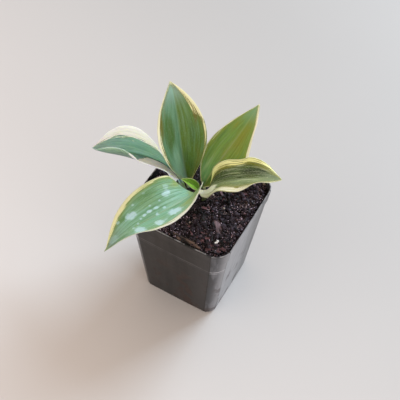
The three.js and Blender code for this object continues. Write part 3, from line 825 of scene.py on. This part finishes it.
perlite_mesh = bmesh.new()
for *offset, radius in PERLITE_BALLS:
    place = Matrix.Translation((PERLITE_PLACE + Vector(offset)) * MM)
    bmesh.ops.create_icosphere(perlite_mesh, subdivisions=4, radius=radius * MM, matrix=place)
perlite_mesh.normal_update()
for vertex in perlite_mesh.verts:
    vertex.co += vertex.normal * 0.00012 * noise.noise(vertex.co * 1400)
perlite_material, tree, skin = finish_of("chalky_perlite", roughness=0.9, subsurface=0.1)
pores = speckle(tree, place_on_piece(tree), 2200.0, 3.0)
colour = blended(tree, ramp_between(tree, pores, 0.3, 0.55), PERLITE_PORE, PERLITE_WHITE)
tree.links.new(colour, skin.inputs["Base Color"])
raised(tree, skin, pores, 0.0002)
perlite = piece_from(perlite_mesh, "white_perlite", perlite_material)
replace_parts(perlite, "perlite_grain")


# The leaves' tissue: waxy green with sunken veins that run from the base to the tip, and cream
# where a leaf has no green of its own, with a boundary that follows the veins in short streaks.
# A pale bloom of wax lies on it in patches, partly painted sheen, and older parts turn a yellowish olive.
VEINS_A_SIDE = 8.0
# How deep red, green and blue light go into the leaf, in metres
LIGHT_REACH = (0.0022, 0.0026, 0.0016)
TISSUE_COLOURS = (
    "Left Green", "Right Green", "Deep Green", "Bloom And Sheen", "Old Olive", "Edge Green", "Left Cream",
    "Right Cream", "Midrib", "Tip Tint", "Base Tint", "Underside", "Stalk Green",
)
TISSUE_SHARES = {
    "Seed": 0.0, "Streak Reach": 1.0, "Deep Share": 0.5, "Bloom Sheen Share": 0.3, "Olive Share": 0.3,
    "Edge Width": 2.5, "Edge Share": 0.6, "Tip Share": 0.5, "Base Share": 0.0, "Cream Wander": 1.0,
    "Line Share": 0.25,
}


def tissue_group():
    """The leaf's colour, roughness and height from where a point lies on it."""
    results = {"Colour": "Color", "Roughness": "Float", "Height": "Float"}
    group, given, result = effect_group("Hosta tissue", TISSUE_COLOURS, TISSUE_SHARES, results)
    across, along, off_midrib, rim, upper = (
        value_on(group, name) for name in ("across", "along", "off_midrib", "rim", "upper")
    )
    on_leaf = shader_node(group, "ShaderNodeCombineXYZ", {"X": across, "Y": along, "Z": given["Seed"]})
    on_leaf = on_leaf.outputs["Vector"]
    broad = speckle(group, on_leaf, 2.6, 3.0, stretch=(1.6, 1.0, 1.0))
    cloudy = speckle(group, on_leaf, 3.4, 4.0, stretch=(1.3, 1.4, 2.0))
    streaks = speckle(group, on_leaf, 7.0, 4.0, stretch=(5.0, 0.7, 1.0))
    long_streaks = speckle(group, on_leaf, 5.0, 2.0, stretch=(3.0, 0.5, 3.0))
    fine = speckle(group, on_leaf, 34.0, 3.0, stretch=(2.0, 1.2, 1.0))
    thin_lines = speckle(group, on_leaf, 8.0, 2.0, stretch=(3.2, 0.4, 1.0))

    def ramp(value, low, high, start=0.0, end=1.0):
        return ramp_between(group, value, low, high, start, end)

    def round_zero(value):
        return sum_of(group, "SUBTRACT", value, 0.5)

    def patch(name):
        """How far a point lies in a patch, which ends in streaks along the veins."""
        streaked = sum_of(group, "MULTIPLY_ADD", round_zero(streaks), 0.9, value_on(group, name))
        return ramp(streaked, 0.02, 0.5)

    on_left = ramp(across, -0.02, 0.02)
    near_base = product(group, ramp(along, 0.10, 0.40, 1.0, 0.0), on_left)
    bloom_sheen_place = sum_of(group, "MULTIPLY_ADD", long_streaks, 0.7, product(group, cloudy, -0.4))
    vein_place = sum_of(group, "PINGPONG", product(group, across, VEINS_A_SIDE), 0.5)
    vein = product(group, ramp(vein_place, 0.0, 0.16, 1.0, 0.0), ramp(along, 0.55, 1.0, 1.0, 0.2))

    # The edge zone and the cream reach inwards in streaks, and their boundary wanders
    reach = product(group, round_zero(streaks), given["Streak Reach"])
    wander = product(group, round_zero(broad), given["Cream Wander"])
    ragged = sum_of(group, "MULTIPLY_ADD", sum_of(group, "ADD", reach, wander), 7.0, rim)
    edge_zone = shader_node(group, "ShaderNodeMapRange", {
        "Value": ragged, "From Min": 0.0, "From Max": given["Edge Width"],
        "To Min": given["Edge Share"], "To Max": 0.0,
    }).outputs["Result"]
    is_cream = ramp(ragged, -0.30, 0.12, 1.0, 0.0)

    green = blended(group, on_left, given["Right Green"], given["Left Green"])
    colour = layered(group, green, (
        (given["Old Olive"], ramp(cloudy, 0.46, 0.62), given["Olive Share"]),
        (given["Deep Green"], ramp(broad, 0.46, 0.66), given["Deep Share"]),
        (given["Deep Green"], ramp(streaks, 0.50, 0.70), given["Deep Share"]),
        # Pale wax bloom with painted sheen, in patches, flecks, thin lines and set patches
        (given["Bloom And Sheen"], ramp(bloom_sheen_place, 0.10, 0.26), given["Bloom Sheen Share"]),
        (given["Tip Tint"], ramp(along, 0.72, 0.98), given["Tip Share"]),
        (given["Base Tint"], near_base, given["Base Share"]),
        (given["Old Olive"], patch("olive_patch"), 1.0),
        (given["Deep Green"], patch("deep_patch"), 1.0),
        (given["Bloom And Sheen"], ramp(fine, 0.54, 0.66), 0.25),
        (given["Bloom And Sheen"], ramp(thin_lines, 0.54, 0.64), 0.25),
        (given["Deep Green"], vein, 0.34),
        (given["Midrib"], ramp(off_midrib, 0.35, 1.1, 1.0, 0.0), ramp(along, 0.3, 0.95, 0.75, 0.25)),
        (given["Edge Green"], edge_zone, 1.0),
        (given["Bloom And Sheen"], patch("bloom_sheen_patch"), 1.0),
    ))
    cream = blended(group, on_left, given["Right Cream"], given["Left Cream"])
    cream = layered(group, cream, (
        (given["Edge Green"], ramp(fine, 0.5, 0.75), 0.06),
        (given["Edge Green"], ramp(thin_lines, 0.52, 0.60), given["Line Share"]),
    ))
    underside = layered(group, given["Underside"], ((cream, is_cream, 0.96), (given["Midrib"], vein, 0.3)))
    stalk = layered(group, given["Stalk Green"], ((given["Midrib"], streaks, 0.5),))
    colour = layered(group, colour, (
        (cream, is_cream, 1.0),
        (underside, ramp(upper, -0.1, 0.1, 1.0, 0.0), 1.0),
        (stalk, ramp(along, -0.12, 0.03, 1.0, 0.0), 1.0),
    ))
    group.links.new(colour, result["Colour"])
    shine = shader_node(group, "ShaderNodeMapRange", {"Value": streaks, "To Min": 0.36, "To Max": 0.58})
    group.links.new(shine.outputs["Result"], result["Roughness"])
    relief = sum_of(group, "SUBTRACT", product(group, fine, 0.35), product(group, vein, 0.7))
    group.links.new(relief, result["Height"])
    return group


hosta_tissue = tissue_group()


def leaf_finish(name, values, see_through=0.45):
    """One leaf's own colours and shares in the common tissue, which lets some light through."""
    material, tree, skin = finish_of(name, specular=0.42, sheen=0.04, subsurface=see_through)
    skin.inputs["Subsurface Radius"].default_value = LIGHT_REACH
    skin.inputs["Subsurface Scale"].default_value = 1.0
    tissue = placed(tree, hosta_tissue, values)
    tree.links.new(tissue["Colour"], skin.inputs["Base Color"])
    tree.links.new(tissue["Roughness"], skin.inputs["Roughness"])
    raised(tree, skin, tissue["Height"], 0.00022)
    return material


# How a leaf grows: a flat grid is wrapped round so that its two long edges meet, and bent along a
# midrib of changing slope and heading. Each half folds up from the midrib, curls towards its edge
# and waves there. The first rows are the round stalk with its channel. Lengths in millimetres.
FOOT_HEIGHT = 94.0
STALK_CHANNEL = 40.0
STALK_SHARE = 0.16
KEEL_DEPTH = 1.3
KEEL_WIDTH = 1.3
BLADE_HALF_THICKNESS = 0.24
BLEND_IN = 0.12
LOBE_REACH = 0.12
LEAN_IN = 1.6
WAVE_DRAWS_IN = 0.3
MAIN_RIB_RELIEF = 0.2
VEIN_RELIEF = 0.13
EDGE_RIPPLE = 0.35
RIPPLE_LENGTH = 7.0
PUCKER = 0.22
PUCKER_LENGTH = 6.0
PUCKER_WIDTH = 3.0
ROWS = 170
AROUND = 144
PATCH_KINDS = ("olive_patch", "deep_patch", "bloom_sheen_patch")
KEPT_VALUES = ("across", "along", "off_midrib", "rim", "upper", "spot", "spot_strength", *PATCH_KINDS)


def eased(value):
    value = min(1.0, max(0.0, value))
    return value * value * (3 - 2 * value)


def between(start, end, share):
    return start + (end - start) * share


def along_blade(values, u):
    """A curve through a value at the blade's base, middle and tip."""
    base, middle, tip = values
    return base * (1 - u) * (1 - 2 * u) + middle * 4 * u * (1 - u) + tip * u * (2 * u - 1)


def blade_share(leaf, s):
    """How far along the blade a distance from the foot reaches: 0 on the stalk, 1 at the tip."""
    return min(1.0, max(0.0, (s - leaf["petiole"]) / leaf["blade"]))


def midrib_angles(leaf, s):
    if s < leaf["petiole"]:
        up = eased(s / leaf["petiole"])
        return between(*leaf["rise"][:2], up), between(*leaf["heading"][:2], up)
    u = blade_share(leaf, s)
    return along_blade(leaf["rise"][1:], u), along_blade(leaf["heading"][1:], u)


def midrib_direction(leaf, s):
    rise, heading = (radians(angle) for angle in midrib_angles(leaf, s))
    return Vector((cos(rise) * cos(heading), cos(rise) * sin(heading), sin(rise)))


def half_width_at(leaf, u):
    before = leaf["taper"] * leaf["widest"] / (1 - leaf["widest"])
    outline = (u / leaf["widest"]) ** before * ((1 - u) / (1 - leaf["widest"])) ** leaf["taper"]
    return hypot(leaf["half_width"] * outline, leaf["stalk"] * max(0, 1 - 4 * u))


def leaf_rows(leaf):
    """What the points of each row have in common: its place on the midrib, frame, width and folds."""
    rows = []
    point = Vector((*leaf["foot"], FOOT_HEIGHT))
    reached = 0.0
    for number in range(ROWS + 1):
        share = number / ROWS
        if share < STALK_SHARE:
            s = leaf["petiole"] * share / STALK_SHARE
        else:
            s = leaf["petiole"] + leaf["blade"] * (share - STALK_SHARE) / (1 - STALK_SHARE)
        for step in range(4):
            middle = reached + (s - reached) * (step + 0.5) / 4
            point = point + midrib_direction(leaf, middle) * (s - reached) / 4
        reached = s
        on_stalk = s < leaf["petiole"]
        up = eased(s / leaf["petiole"]) if on_stalk else 1.0
        u = blade_share(leaf, s)
        direction = midrib_direction(leaf, s)
        heading = radians(midrib_angles(leaf, s)[1])
        roll = radians(up * leaf["roll"][0] if on_stalk else along_blade(leaf["roll"], u))
        across = Matrix.Rotation(roll, 3, direction) @ Vector((-sin(heading), cos(heading), 0))
        rows.append({
            "point": point.copy(), "direction": direction, "across": across,
            "above": direction.cross(across), "on_stalk": on_stalk, "up": up, "u": u,
            "width": leaf["stalk"] if on_stalk else half_width_at(leaf, u), "blend": eased(u / BLEND_IN),
        })
    return rows


def leaf_point(leaf, row, v, is_upper):
    """The place of a point at v across a row, from -1 right to 1 left, on the upper or lower face."""
    side = -1 if v < 0 else 1
    t = abs(v)
    half = leaf["left"] if side > 0 else leaf["right"]
    u, up, width = row["u"], row["up"], row["width"]
    fold = radians(between(up * STALK_CHANNEL, along_blade(half["fold"], u), row["blend"]))
    curl = radians(along_blade(half["curl"], u) * row["blend"])
    middle_angle = fold + curl * t / 2
    chord = width * t if abs(curl) < 1e-6 else 2 * width * sin(curl * t / 2) / curl
    angle = fold + curl * t

    height, number, start = half.get("wave", (0, 1, 0))
    wave = height * t * t * sin(2 * pi * (number * u + start)) * sqrt(max(0.0, sin(pi * u)))
    ripple_place = Vector((u * leaf["blade"] / RIPPLE_LENGTH, side * 3.0, leaf["foot"][0]))
    ripple = EDGE_RIPPLE * t ** 5 * noise.noise(ripple_place) * min(1.0, width / 8) * row["blend"]
    out = chord * cos(middle_angle) - WAVE_DRAWS_IN * abs(wave) - (wave + ripple) * sin(angle)
    lift = chord * sin(middle_angle) + (wave + ripple) * cos(angle)
    back = -half.get("lobe", 0) * t ** 1.5 * exp(-u / LOBE_REACH) * eased(u / 0.03)
    place = row["point"] + row["across"] * (side * out) + row["above"] * lift
    if not row["on_stalk"]:
        place = place + row["direction"] * back
    lean = angle * eased(width * t / LEAN_IN)
    normal = row["above"] * cos(lean) - row["across"] * (side * sin(lean))

    closing = sqrt(max(0.0, 1 - t ** 10))
    thin = BLADE_HALF_THICKNESS * closing
    round_half = leaf["stalk"] * sqrt(max(0.0, 1 - t * t))
    if row["on_stalk"]:
        offset = max(round_half * (1 - up), thin * up) if is_upper else -round_half
        return place + normal * offset
    rib_fade = eased(u / 0.15) * eased((1 - u) / 0.3) * width / leaf["half_width"]
    relief = -MAIN_RIB_RELIEF * cos(pi * VEINS_A_SIDE * t) - VEIN_RELIEF * cos(2 * pi * VEINS_A_SIDE * t)
    pucker_place = Vector((t * width / PUCKER_WIDTH, u * leaf["blade"] / PUCKER_LENGTH, side * 5.0))
    relief += PUCKER * noise.noise(pucker_place)
    relief *= rib_fade * closing * (1 - 0.5 * t)
    if is_upper:
        return place + normal * (thin + relief)
    keel = KEEL_DEPTH * (1 - u) ** 2 * exp(-((width * t / KEEL_WIDTH) ** 2))
    under = max(between(max(round_half, thin), thin, row["blend"]), thin + keel)
    return place - normal * (under - relief)


def cream_width(widths, u):
    """How far the cream reaches in from the edge, from widths evenly spaced along the blade."""
    place = u * (len(widths) - 1)
    low = min(int(place), len(widths) - 2)
    return between(widths[low], widths[low + 1], eased(place - low))


def depths_in(patches, along_mm, across_mm):
    """How deep a point lies in each patch, 1 in its middle and 0 at its edge, and its strength."""
    return [
        (1 - hypot((along_mm - along) / long_half, (across_mm - across) / wide_half), strength)
        for along, across, long_half, wide_half, strength in patches
    ]


def grow_leaf(name, node, material, leaf, spots=()):
    """Bends a grid into one closed leaf and keeps on it where each point lies."""
    bm = bmesh.new()
    kept = {key: bm.verts.layers.float.new(key) for key in KEPT_VALUES}
    bmesh.ops.create_grid(bm, x_segments=AROUND, y_segments=ROWS, size=1.0)
    rows = leaf_rows(leaf)
    for vertex in bm.verts:
        row = rows[round((vertex.co.y + 1) / 2 * ROWS)]
        k = 2 * abs(vertex.co.x) - 1
        v = 0.6 * k + 0.4 * sin(pi / 2 * k)
        is_upper = vertex.co.x < 0
        vertex.co = leaf_point(leaf, row, v, is_upper) * MM
        half = leaf["left"] if v > 0 else leaf["right"]
        cream = cream_width(half["cream"], row["u"])
        in_from_edge = row["width"] * (1 - abs(v))
        along_mm = row["u"] * leaf["blade"]
        across_mm = v * row["width"]
        vertex[kept["across"]] = v
        vertex[kept["along"]] = row["u"] if not row["on_stalk"] else row["up"] - 1
        vertex[kept["off_midrib"]] = abs(across_mm)
        vertex[kept["rim"]] = in_from_edge - cream if not row["on_stalk"] else 5.0
        vertex[kept["upper"]] = 1 if is_upper else -1
        for kind in PATCH_KINDS:
            depths = depths_in(leaf.get(kind, ()), along_mm, across_mm)
            vertex[kept[kind]] = max([-1.0] + [depth * strength for depth, strength in depths])
        spot = max([(-1.0, 0.0)] + depths_in(spots if is_upper else (), along_mm, across_mm))
        vertex[kept["spot"]], vertex[kept["spot_strength"]] = spot
    bmesh.ops.remove_doubles(bm, verts=bm.verts, dist=1e-7)
    bmesh.ops.holes_fill(bm, edges=[edge for edge in bm.edges if edge.is_boundary], sides=0)
    bmesh.ops.recalc_face_normals(bm, faces=bm.faces)
    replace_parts(piece_from(bm, name, material), node)


# The upright leaf at the back: blue-green on its left half and darker olive on its right, with a
# cream edge that is a little wider on the right.
back_look = leaf_finish("back_leaf_tissue", {
    "Left Green": (0.071, 0.200, 0.116), "Right Green": (0.078, 0.157, 0.011),
    "Deep Green": (0.036, 0.102, 0.011), "Bloom And Sheen": (0.20, 0.38, 0.29),
    "Old Olive": (0.105, 0.095, 0.003), "Edge Green": (0.13, 0.11, 0.004),
    "Left Cream": (0.80, 0.80, 0.50), "Right Cream": (0.80, 0.78, 0.43), "Midrib": (0.20, 0.34, 0.22),
    "Tip Tint": (0.29, 0.43, 0.43), "Base Tint": (0.24, 0.42, 0.37), "Underside": (0.20, 0.30, 0.16),
    "Stalk Green": (0.16, 0.24, 0.05),
    "Seed": 1.0, "Streak Reach": 1.7, "Deep Share": 0.35, "Bloom Sheen Share": 0.15, "Olive Share": 0.1,
    "Edge Width": 2.6, "Edge Share": 0.95, "Tip Share": 0.7, "Base Share": 0.9, "Cream Wander": 1.5,
})
grow_leaf("back_leaf", "leaf_back", back_look, {
    "foot": (-10.8, 5.0), "stalk": 2.0, "petiole": 14.5, "blade": 88.5,
    "rise": (84, 66, 62.5, 45), "heading": (152, 162, 136, 148), "roll": (0, 5, 2.5),
    "half_width": 21, "widest": 0.52, "taper": 1.05,
    "left": {"fold": (25, 16, 6), "curl": (20, 12, 0), "cream": (0.6, 0.7, 1.8, 2.6, 1.7, 1.0)},
    "right": {"fold": (25, 14, 7), "curl": (20, 8, 0), "cream": (0.6, 1.2, 1.6, 2.6, 3.2, 1.4)},
    "olive_patch": ((60, 15.5, 16, 2.4, 0.9), (66, -13.5, 16, 2.6, 0.9), (30, -12, 14, 3, 0.3)),
    "deep_patch": ((50, 9.5, 20, 7, 0.9), (22, -5, 18, 7, 0.5), (45, -10, 20, 6, 0.4)),
    "bloom_sheen_patch": ((14, 5, 12, 3, 0.6), (27, 6, 18, 6, 0.6), (82, 1, 8, 4, 0.3)),
})

# The left leaf: bent right over and folded like a gutter. Its far half, the right one as the leaf
# grows, is cream for over a third of its width, with blue-green streaks that run out into it. Its
# near half is cream from the base to the middle, and shows its underside there.
left_look = leaf_finish("left_leaf_tissue", {
    "Left Green": (0.175, 0.315, 0.34), "Right Green": (0.175, 0.325, 0.37),
    "Deep Green": (0.09, 0.20, 0.21), "Bloom And Sheen": (0.33, 0.49, 0.54),
    "Old Olive": (0.17, 0.29, 0.24), "Edge Green": (0.085, 0.115, 0.07),
    "Left Cream": (1.0, 1.0, 0.86), "Right Cream": (1.0, 1.0, 0.82), "Midrib": (0.12, 0.20, 0.17),
    "Tip Tint": (0.20, 0.27, 0.27), "Underside": (0.085, 0.155, 0.16), "Stalk Green": (0.20, 0.30, 0.12),
    "Seed": 4.0, "Streak Reach": 2.2, "Deep Share": 0.35, "Bloom Sheen Share": 0.3, "Olive Share": 0.1,
    "Edge Width": 1.3, "Edge Share": 0.9, "Tip Share": 0.6, "Cream Wander": 0.6, "Line Share": 0.08,
}, see_through=0.95)
grow_leaf("left_leaf", "leaf_left", left_look, {
    "foot": (-10.6, -1.2), "stalk": 2.0, "petiole": 23.5, "blade": 79,
    "rise": (80, 14, 3, -7), "heading": (150, 150, 197, 190), "roll": (1, -25, 12),
    "half_width": 26.5, "widest": 0.49, "taper": 0.84,
    "left": {
        "fold": (54, 48, 10), "curl": (34, 34, -4), "wave": (-10, 0.8, 0.14), "lobe": 4.5,
        "cream": (22, 24, 24, -1, -15, -15),
    },
    "right": {
        "fold": (52, 51, 1), "curl": (32, 31, -8), "wave": (6, 1.25, 0.1),
        "cream": (2, 8, 10.5, 10, 7, 1.5),
    },
    "bloom_sheen_patch": ((40, -3, 16, 3, 0.4), (60, 2, 10, 3, 0.3)),
})

# The large front leaf: light sage green, arched over the pot's edge, with pale spots of lime on its
# upper face, which hard water leaves where drops dry. A spot is its place along and across, its two
# half sizes and how strong it is, as a patch on any leaf is.
SPOT_COLOUR = (0.49, 0.71, 0.76)
DRIED_SPOTS = (
    (44, -15.8, 3.4, 2.6, 0.4), (46, -11.1, 5.0, 3.2, 0.7), (52.2, 10.8, 5.6, 7.6, 1),
    (77.4, -8.7, 5.4, 3.4, 0.9), (79.2, 9.8, 4.6, 9.0, 0.9), (65.7, 14.3, 3.6, 5.6, 0.9),
    (64.8, -4.9, 2.8, 1.5, 0.9), (69.3, -4.1, 1.9, 1.2, 0.9), (58.9, -4.8, 2.7, 1.4, 0.8),
    (53.6, -2.2, 2.0, 1.2, 0.7), (60.8, 0.6, 1.8, 2.6, 0.7), (72.9, -3.1, 1.2, 1.0, 0.7),
    (76.5, -1.0, 1.1, 1.1, 0.6), (81, 0.7, 1.3, 1.8, 0.5), (61.2, 15.1, 1.3, 1.3, 0.6),
    (62.5, -19, 1.4, 1.2, 0.3), (54, -8.6, 1.3, 1.0, 0.6), (62.5, -8.4, 1.4, 1.0, 0.6),
    (72.9, -15, 1.3, 1.0, 0.5), (87.3, -9.9, 1.7, 1.4, 0.5), (97, -1.7, 5.0, 3.6, 0.2),
)
front_look = leaf_finish("front_leaf_tissue", {
    "Left Green": (0.172, 0.370, 0.25), "Right Green": (0.175, 0.370, 0.25),
    "Deep Green": (0.085, 0.21, 0.075), "Bloom And Sheen": (0.33, 0.54, 0.45),
    "Old Olive": (0.25, 0.335, 0.11), "Edge Green": (0.17, 0.23, 0.03),
    "Left Cream": (0.70, 0.73, 0.60), "Right Cream": (0.80, 0.82, 0.42), "Midrib": (0.30, 0.44, 0.28),
    "Tip Tint": (0.12, 0.16, 0.14), "Underside": (0.30, 0.42, 0.24), "Stalk Green": (0.13, 0.18, 0.03),
    "Seed": 7.0, "Streak Reach": 0.9, "Deep Share": 0.45, "Bloom Sheen Share": 0.35, "Olive Share": 0.3,
    "Edge Width": 3.2, "Edge Share": 0.75, "Tip Share": 1.0, "Cream Wander": 1.3, "Line Share": 0.5,
})
tree = front_look.node_tree
skin = tree.nodes["Principled BSDF"]
leaf_colour = skin.inputs["Base Color"].links[0].from_socket
uneven = sum_of(tree, "SUBTRACT", speckle(tree, place_on_piece(tree), 380.0, 3.0), 0.5)
in_spot = sum_of(tree, "ADD", value_on(tree, "spot"), product(tree, uneven, 0.9))
dried = product(tree, ramp_between(tree, in_spot, -0.02, 0.46), value_on(tree, "spot_strength"))
spotted = layered(tree, leaf_colour, [(SPOT_COLOUR, dried, 0.84)])
tree.links.new(spotted, skin.inputs["Base Color"])
grow_leaf("front_leaf", "leaf_front_left", front_look, {
    "foot": (-5.6, -3.2), "stalk": 2.0, "petiole": 26.5, "blade": 108,
    "rise": (82, 72, 5, -4), "heading": (282, 315, 247, 263), "roll": (7, 10, 11),
    "half_width": 25.5, "widest": 0.51, "taper": 1.16,
    "left": {
        "fold": (34, 27, 13), "curl": (27, 18, 3), "wave": (4.4, 1.7, -0.2),
        "cream": (2.5, 4.2, 3.8, 3.4, 2.6, 0.4),
    },
    "right": {
        "fold": (19, 25, 4), "curl": (15, 15, -6), "wave": (-5.6, 0.97, 0.23), "lobe": 5,
        "cream": (0.3, 0.5, 1.8, 4.6, 3.6, 0.4),
    },
    "deep_patch": ((84, -10, 14, 3, 0.5), (60, -17, 16, 3, 0.5), (92, 3, 8, 4, 0.4), (44, 4, 12, 5, 0.3)),
    "olive_patch": ((30, -14, 12, 4, 0.7), (15, 2, 18, 9, 0.9), (37, 13, 15, 11, 0.8)),
}, DRIED_SPOTS)

# The back right leaf: yellowish olive green where the light comes through, greener at its base,
# with thin cream edges.
back_right_look = leaf_finish("back_right_leaf_tissue", {
    "Left Green": (0.130, 0.262, 0.034), "Right Green": (0.162, 0.252, 0.018),
    "Deep Green": (0.06, 0.155, 0.008), "Bloom And Sheen": (0.22, 0.34, 0.15),
    "Old Olive": (0.200, 0.220, 0.006), "Edge Green": (0.24, 0.25, 0.018),
    "Left Cream": (0.72, 0.76, 0.48), "Right Cream": (0.84, 0.83, 0.58), "Midrib": (0.30, 0.38, 0.15),
    "Tip Tint": (0.20, 0.39, 0.28), "Base Tint": (0.11, 0.31, 0.13), "Underside": (0.22, 0.30, 0.12),
    "Stalk Green": (0.16, 0.24, 0.04),
    "Seed": 10.0, "Streak Reach": 0.8, "Deep Share": 0.35, "Bloom Sheen Share": 0.2, "Olive Share": 0.4,
    "Tip Share": 0.8, "Base Share": 0.75,
})
grow_leaf("back_right_leaf", "leaf_back_right", back_right_look, {
    "foot": (-4.0, 8.8), "stalk": 2.0, "petiole": 14.3, "blade": 82,
    "rise": (84, 78, 39, 56), "heading": (62, 57, 73, 71), "roll": (0, -4, -21),
    "half_width": 19.6, "widest": 0.48, "taper": 1.14,
    "left": {
        "fold": (25, -1, -1), "curl": (18, -10, -4), "wave": (-0.7, 1, 0),
        "cream": (0.4, 0.6, 1, 1.3, 1, 0.6),
    },
    "right": {
        "fold": (12, -3, 9), "curl": (4, -9, 16), "wave": (-5, 1.35, -0.13),
        "cream": (0.5, 1.5, 3.0, 3.0, 1.8, 0.8),
    },
    "olive_patch": ((54, -4, 20, 6, 0.6), (58, 8, 12, 3, 0.4), (36, 0, 14, 4, 0.3)),
    "deep_patch": ((12, -2, 14, 4, 0.5), (46, 13, 14, 3, 0.4)),
    "bloom_sheen_patch": ((20, 7, 16, 2.2, 0.5), (10, 3, 8, 1.5, 0.4)),
})

# The right leaf: its near half lies towards the viewer, grey-green with painted sheen streaks, a wide
# wavy cream edge and a lobe at its base painted light, and its far half is dark green and rolls up
# into a broad yellow lip.
right_look = leaf_finish("right_leaf_tissue", {
    "Left Green": (0.030, 0.072, 0.003), "Right Green": (0.138, 0.202, 0.070),
    # Its bloom colour is mostly painted sheen, and also paints light on the lobe
    "Deep Green": (0.010, 0.026, 0.002), "Bloom And Sheen": (0.88, 0.95, 0.68),
    "Old Olive": (0.13, 0.160, 0.006), "Edge Green": (0.20, 0.19, 0.012),
    "Left Cream": (0.95, 1.0, 0.40), "Right Cream": (0.73, 0.73, 0.50), "Midrib": (0.20, 0.26, 0.12),
    # Its stalk's near-black green is painted shade, where the stalk stands in the shade under the lobe
    "Tip Tint": (0.13, 0.18, 0.10), "Underside": (0.26, 0.33, 0.14), "Stalk Green": (0.04, 0.055, 0.010),
    "Seed": 13.0, "Streak Reach": 1.2, "Deep Share": 0.5, "Bloom Sheen Share": 0.04, "Olive Share": 0.3,
    "Edge Width": 3.6, "Edge Share": 0.9, "Tip Share": 0.9, "Cream Wander": 0.8, "Line Share": 0.95,
})
grow_leaf("right_leaf", "leaf_right", right_look, {
    "foot": (-0.4, 2.6), "stalk": 2.0, "petiole": 22, "blade": 72,
    "rise": (80, 78, 30, 11), "heading": (0, 0, 13.5, 16), "roll": (-28, -16, -14),
    "half_width": 20.5, "widest": 0.47, "taper": 0.72,
    "left": {
        "fold": (27, 13, 12), "curl": (36, 26, -12), "wave": (-4.4, 1.95, 0.34),
        "cream": (2.4, 4.8, 5.0, 4.1, 2.9, 0.4),
    },
    "right": {
        "fold": (-8, 6, 22), "curl": (-18, -2, 7), "wave": (1.8, 2.7, -0.9),
        "cream": (0.8, 3.4, 9.5, 6.5, 2.4, 0.4),
    },
    "olive_patch": ((18, 14, 14, 3, 0.9), (44, 15, 12, 1.6, 0.6)),
    "deep_patch": ((50, 7, 18, 5, 0.8), (26, 5, 14, 3, 0.5), (12, 8, 8, 4, 0.8)),
    # The thin pale patches are painted sheen streaks; the last one paints light on the lobe at the base,
    # which lies in shade
    "bloom_sheen_patch": (
        (27, 10.8, 12, 1.6, 0.15), (38, 14, 10, 1.4, 0.15), (47, -3, 18, 2, 0.2), (60, 1, 10, 1.4, 0.15),
        (7, -9, 17, 11, 2.6),
    ),
})

# The young leaf in the middle: bright green with light edges, and still rolling open. It stands on
# a short thin stalk between the grown leaves' stalks.
young_look = leaf_finish("young_leaf_tissue", {
    "Left Green": (0.30, 0.74, 0.045), "Right Green": (0.20, 0.48, 0.03),
    "Deep Green": (0.10, 0.30, 0.012), "Bloom And Sheen": (0.26, 0.46, 0.12),
    "Old Olive": (0.20, 0.36, 0.03), "Edge Green": (0.25, 0.36, 0.09),
    "Left Cream": (0.48, 0.58, 0.22), "Right Cream": (0.42, 0.54, 0.18), "Midrib": (0.22, 0.36, 0.08),
    "Tip Tint": (0.30, 0.48, 0.12), "Underside": (0.22, 0.36, 0.10), "Stalk Green": (0.22, 0.34, 0.07),
    "Seed": 16.0, "Streak Reach": 0.1, "Edge Width": 0.8, "Cream Wander": 0.1,
})
grow_leaf("young_leaf", "leaf_small_centre", young_look, {
    "foot": (-5.2, 3.0), "stalk": 1.5, "petiole": 17.5, "blade": 18.5,
    "rise": (88, 92, 34, 14), "heading": (205, 206, 200, 192), "roll": (0, -17, -6),
    "half_width": 4.4, "widest": 0.45, "taper": 1.0,
    "left": {"fold": (40, 24, 20), "curl": (20, 1, 0), "wave": (-1, 1, 0), "cream": (0.2, 0.5, 0.5, 0.3)},
    "right": {"fold": (40, 38, 24), "curl": (20, 14, 0), "wave": (0.4, 1, 0), "cream": (0.2, 0.5, 0.5, 0.3)},
})
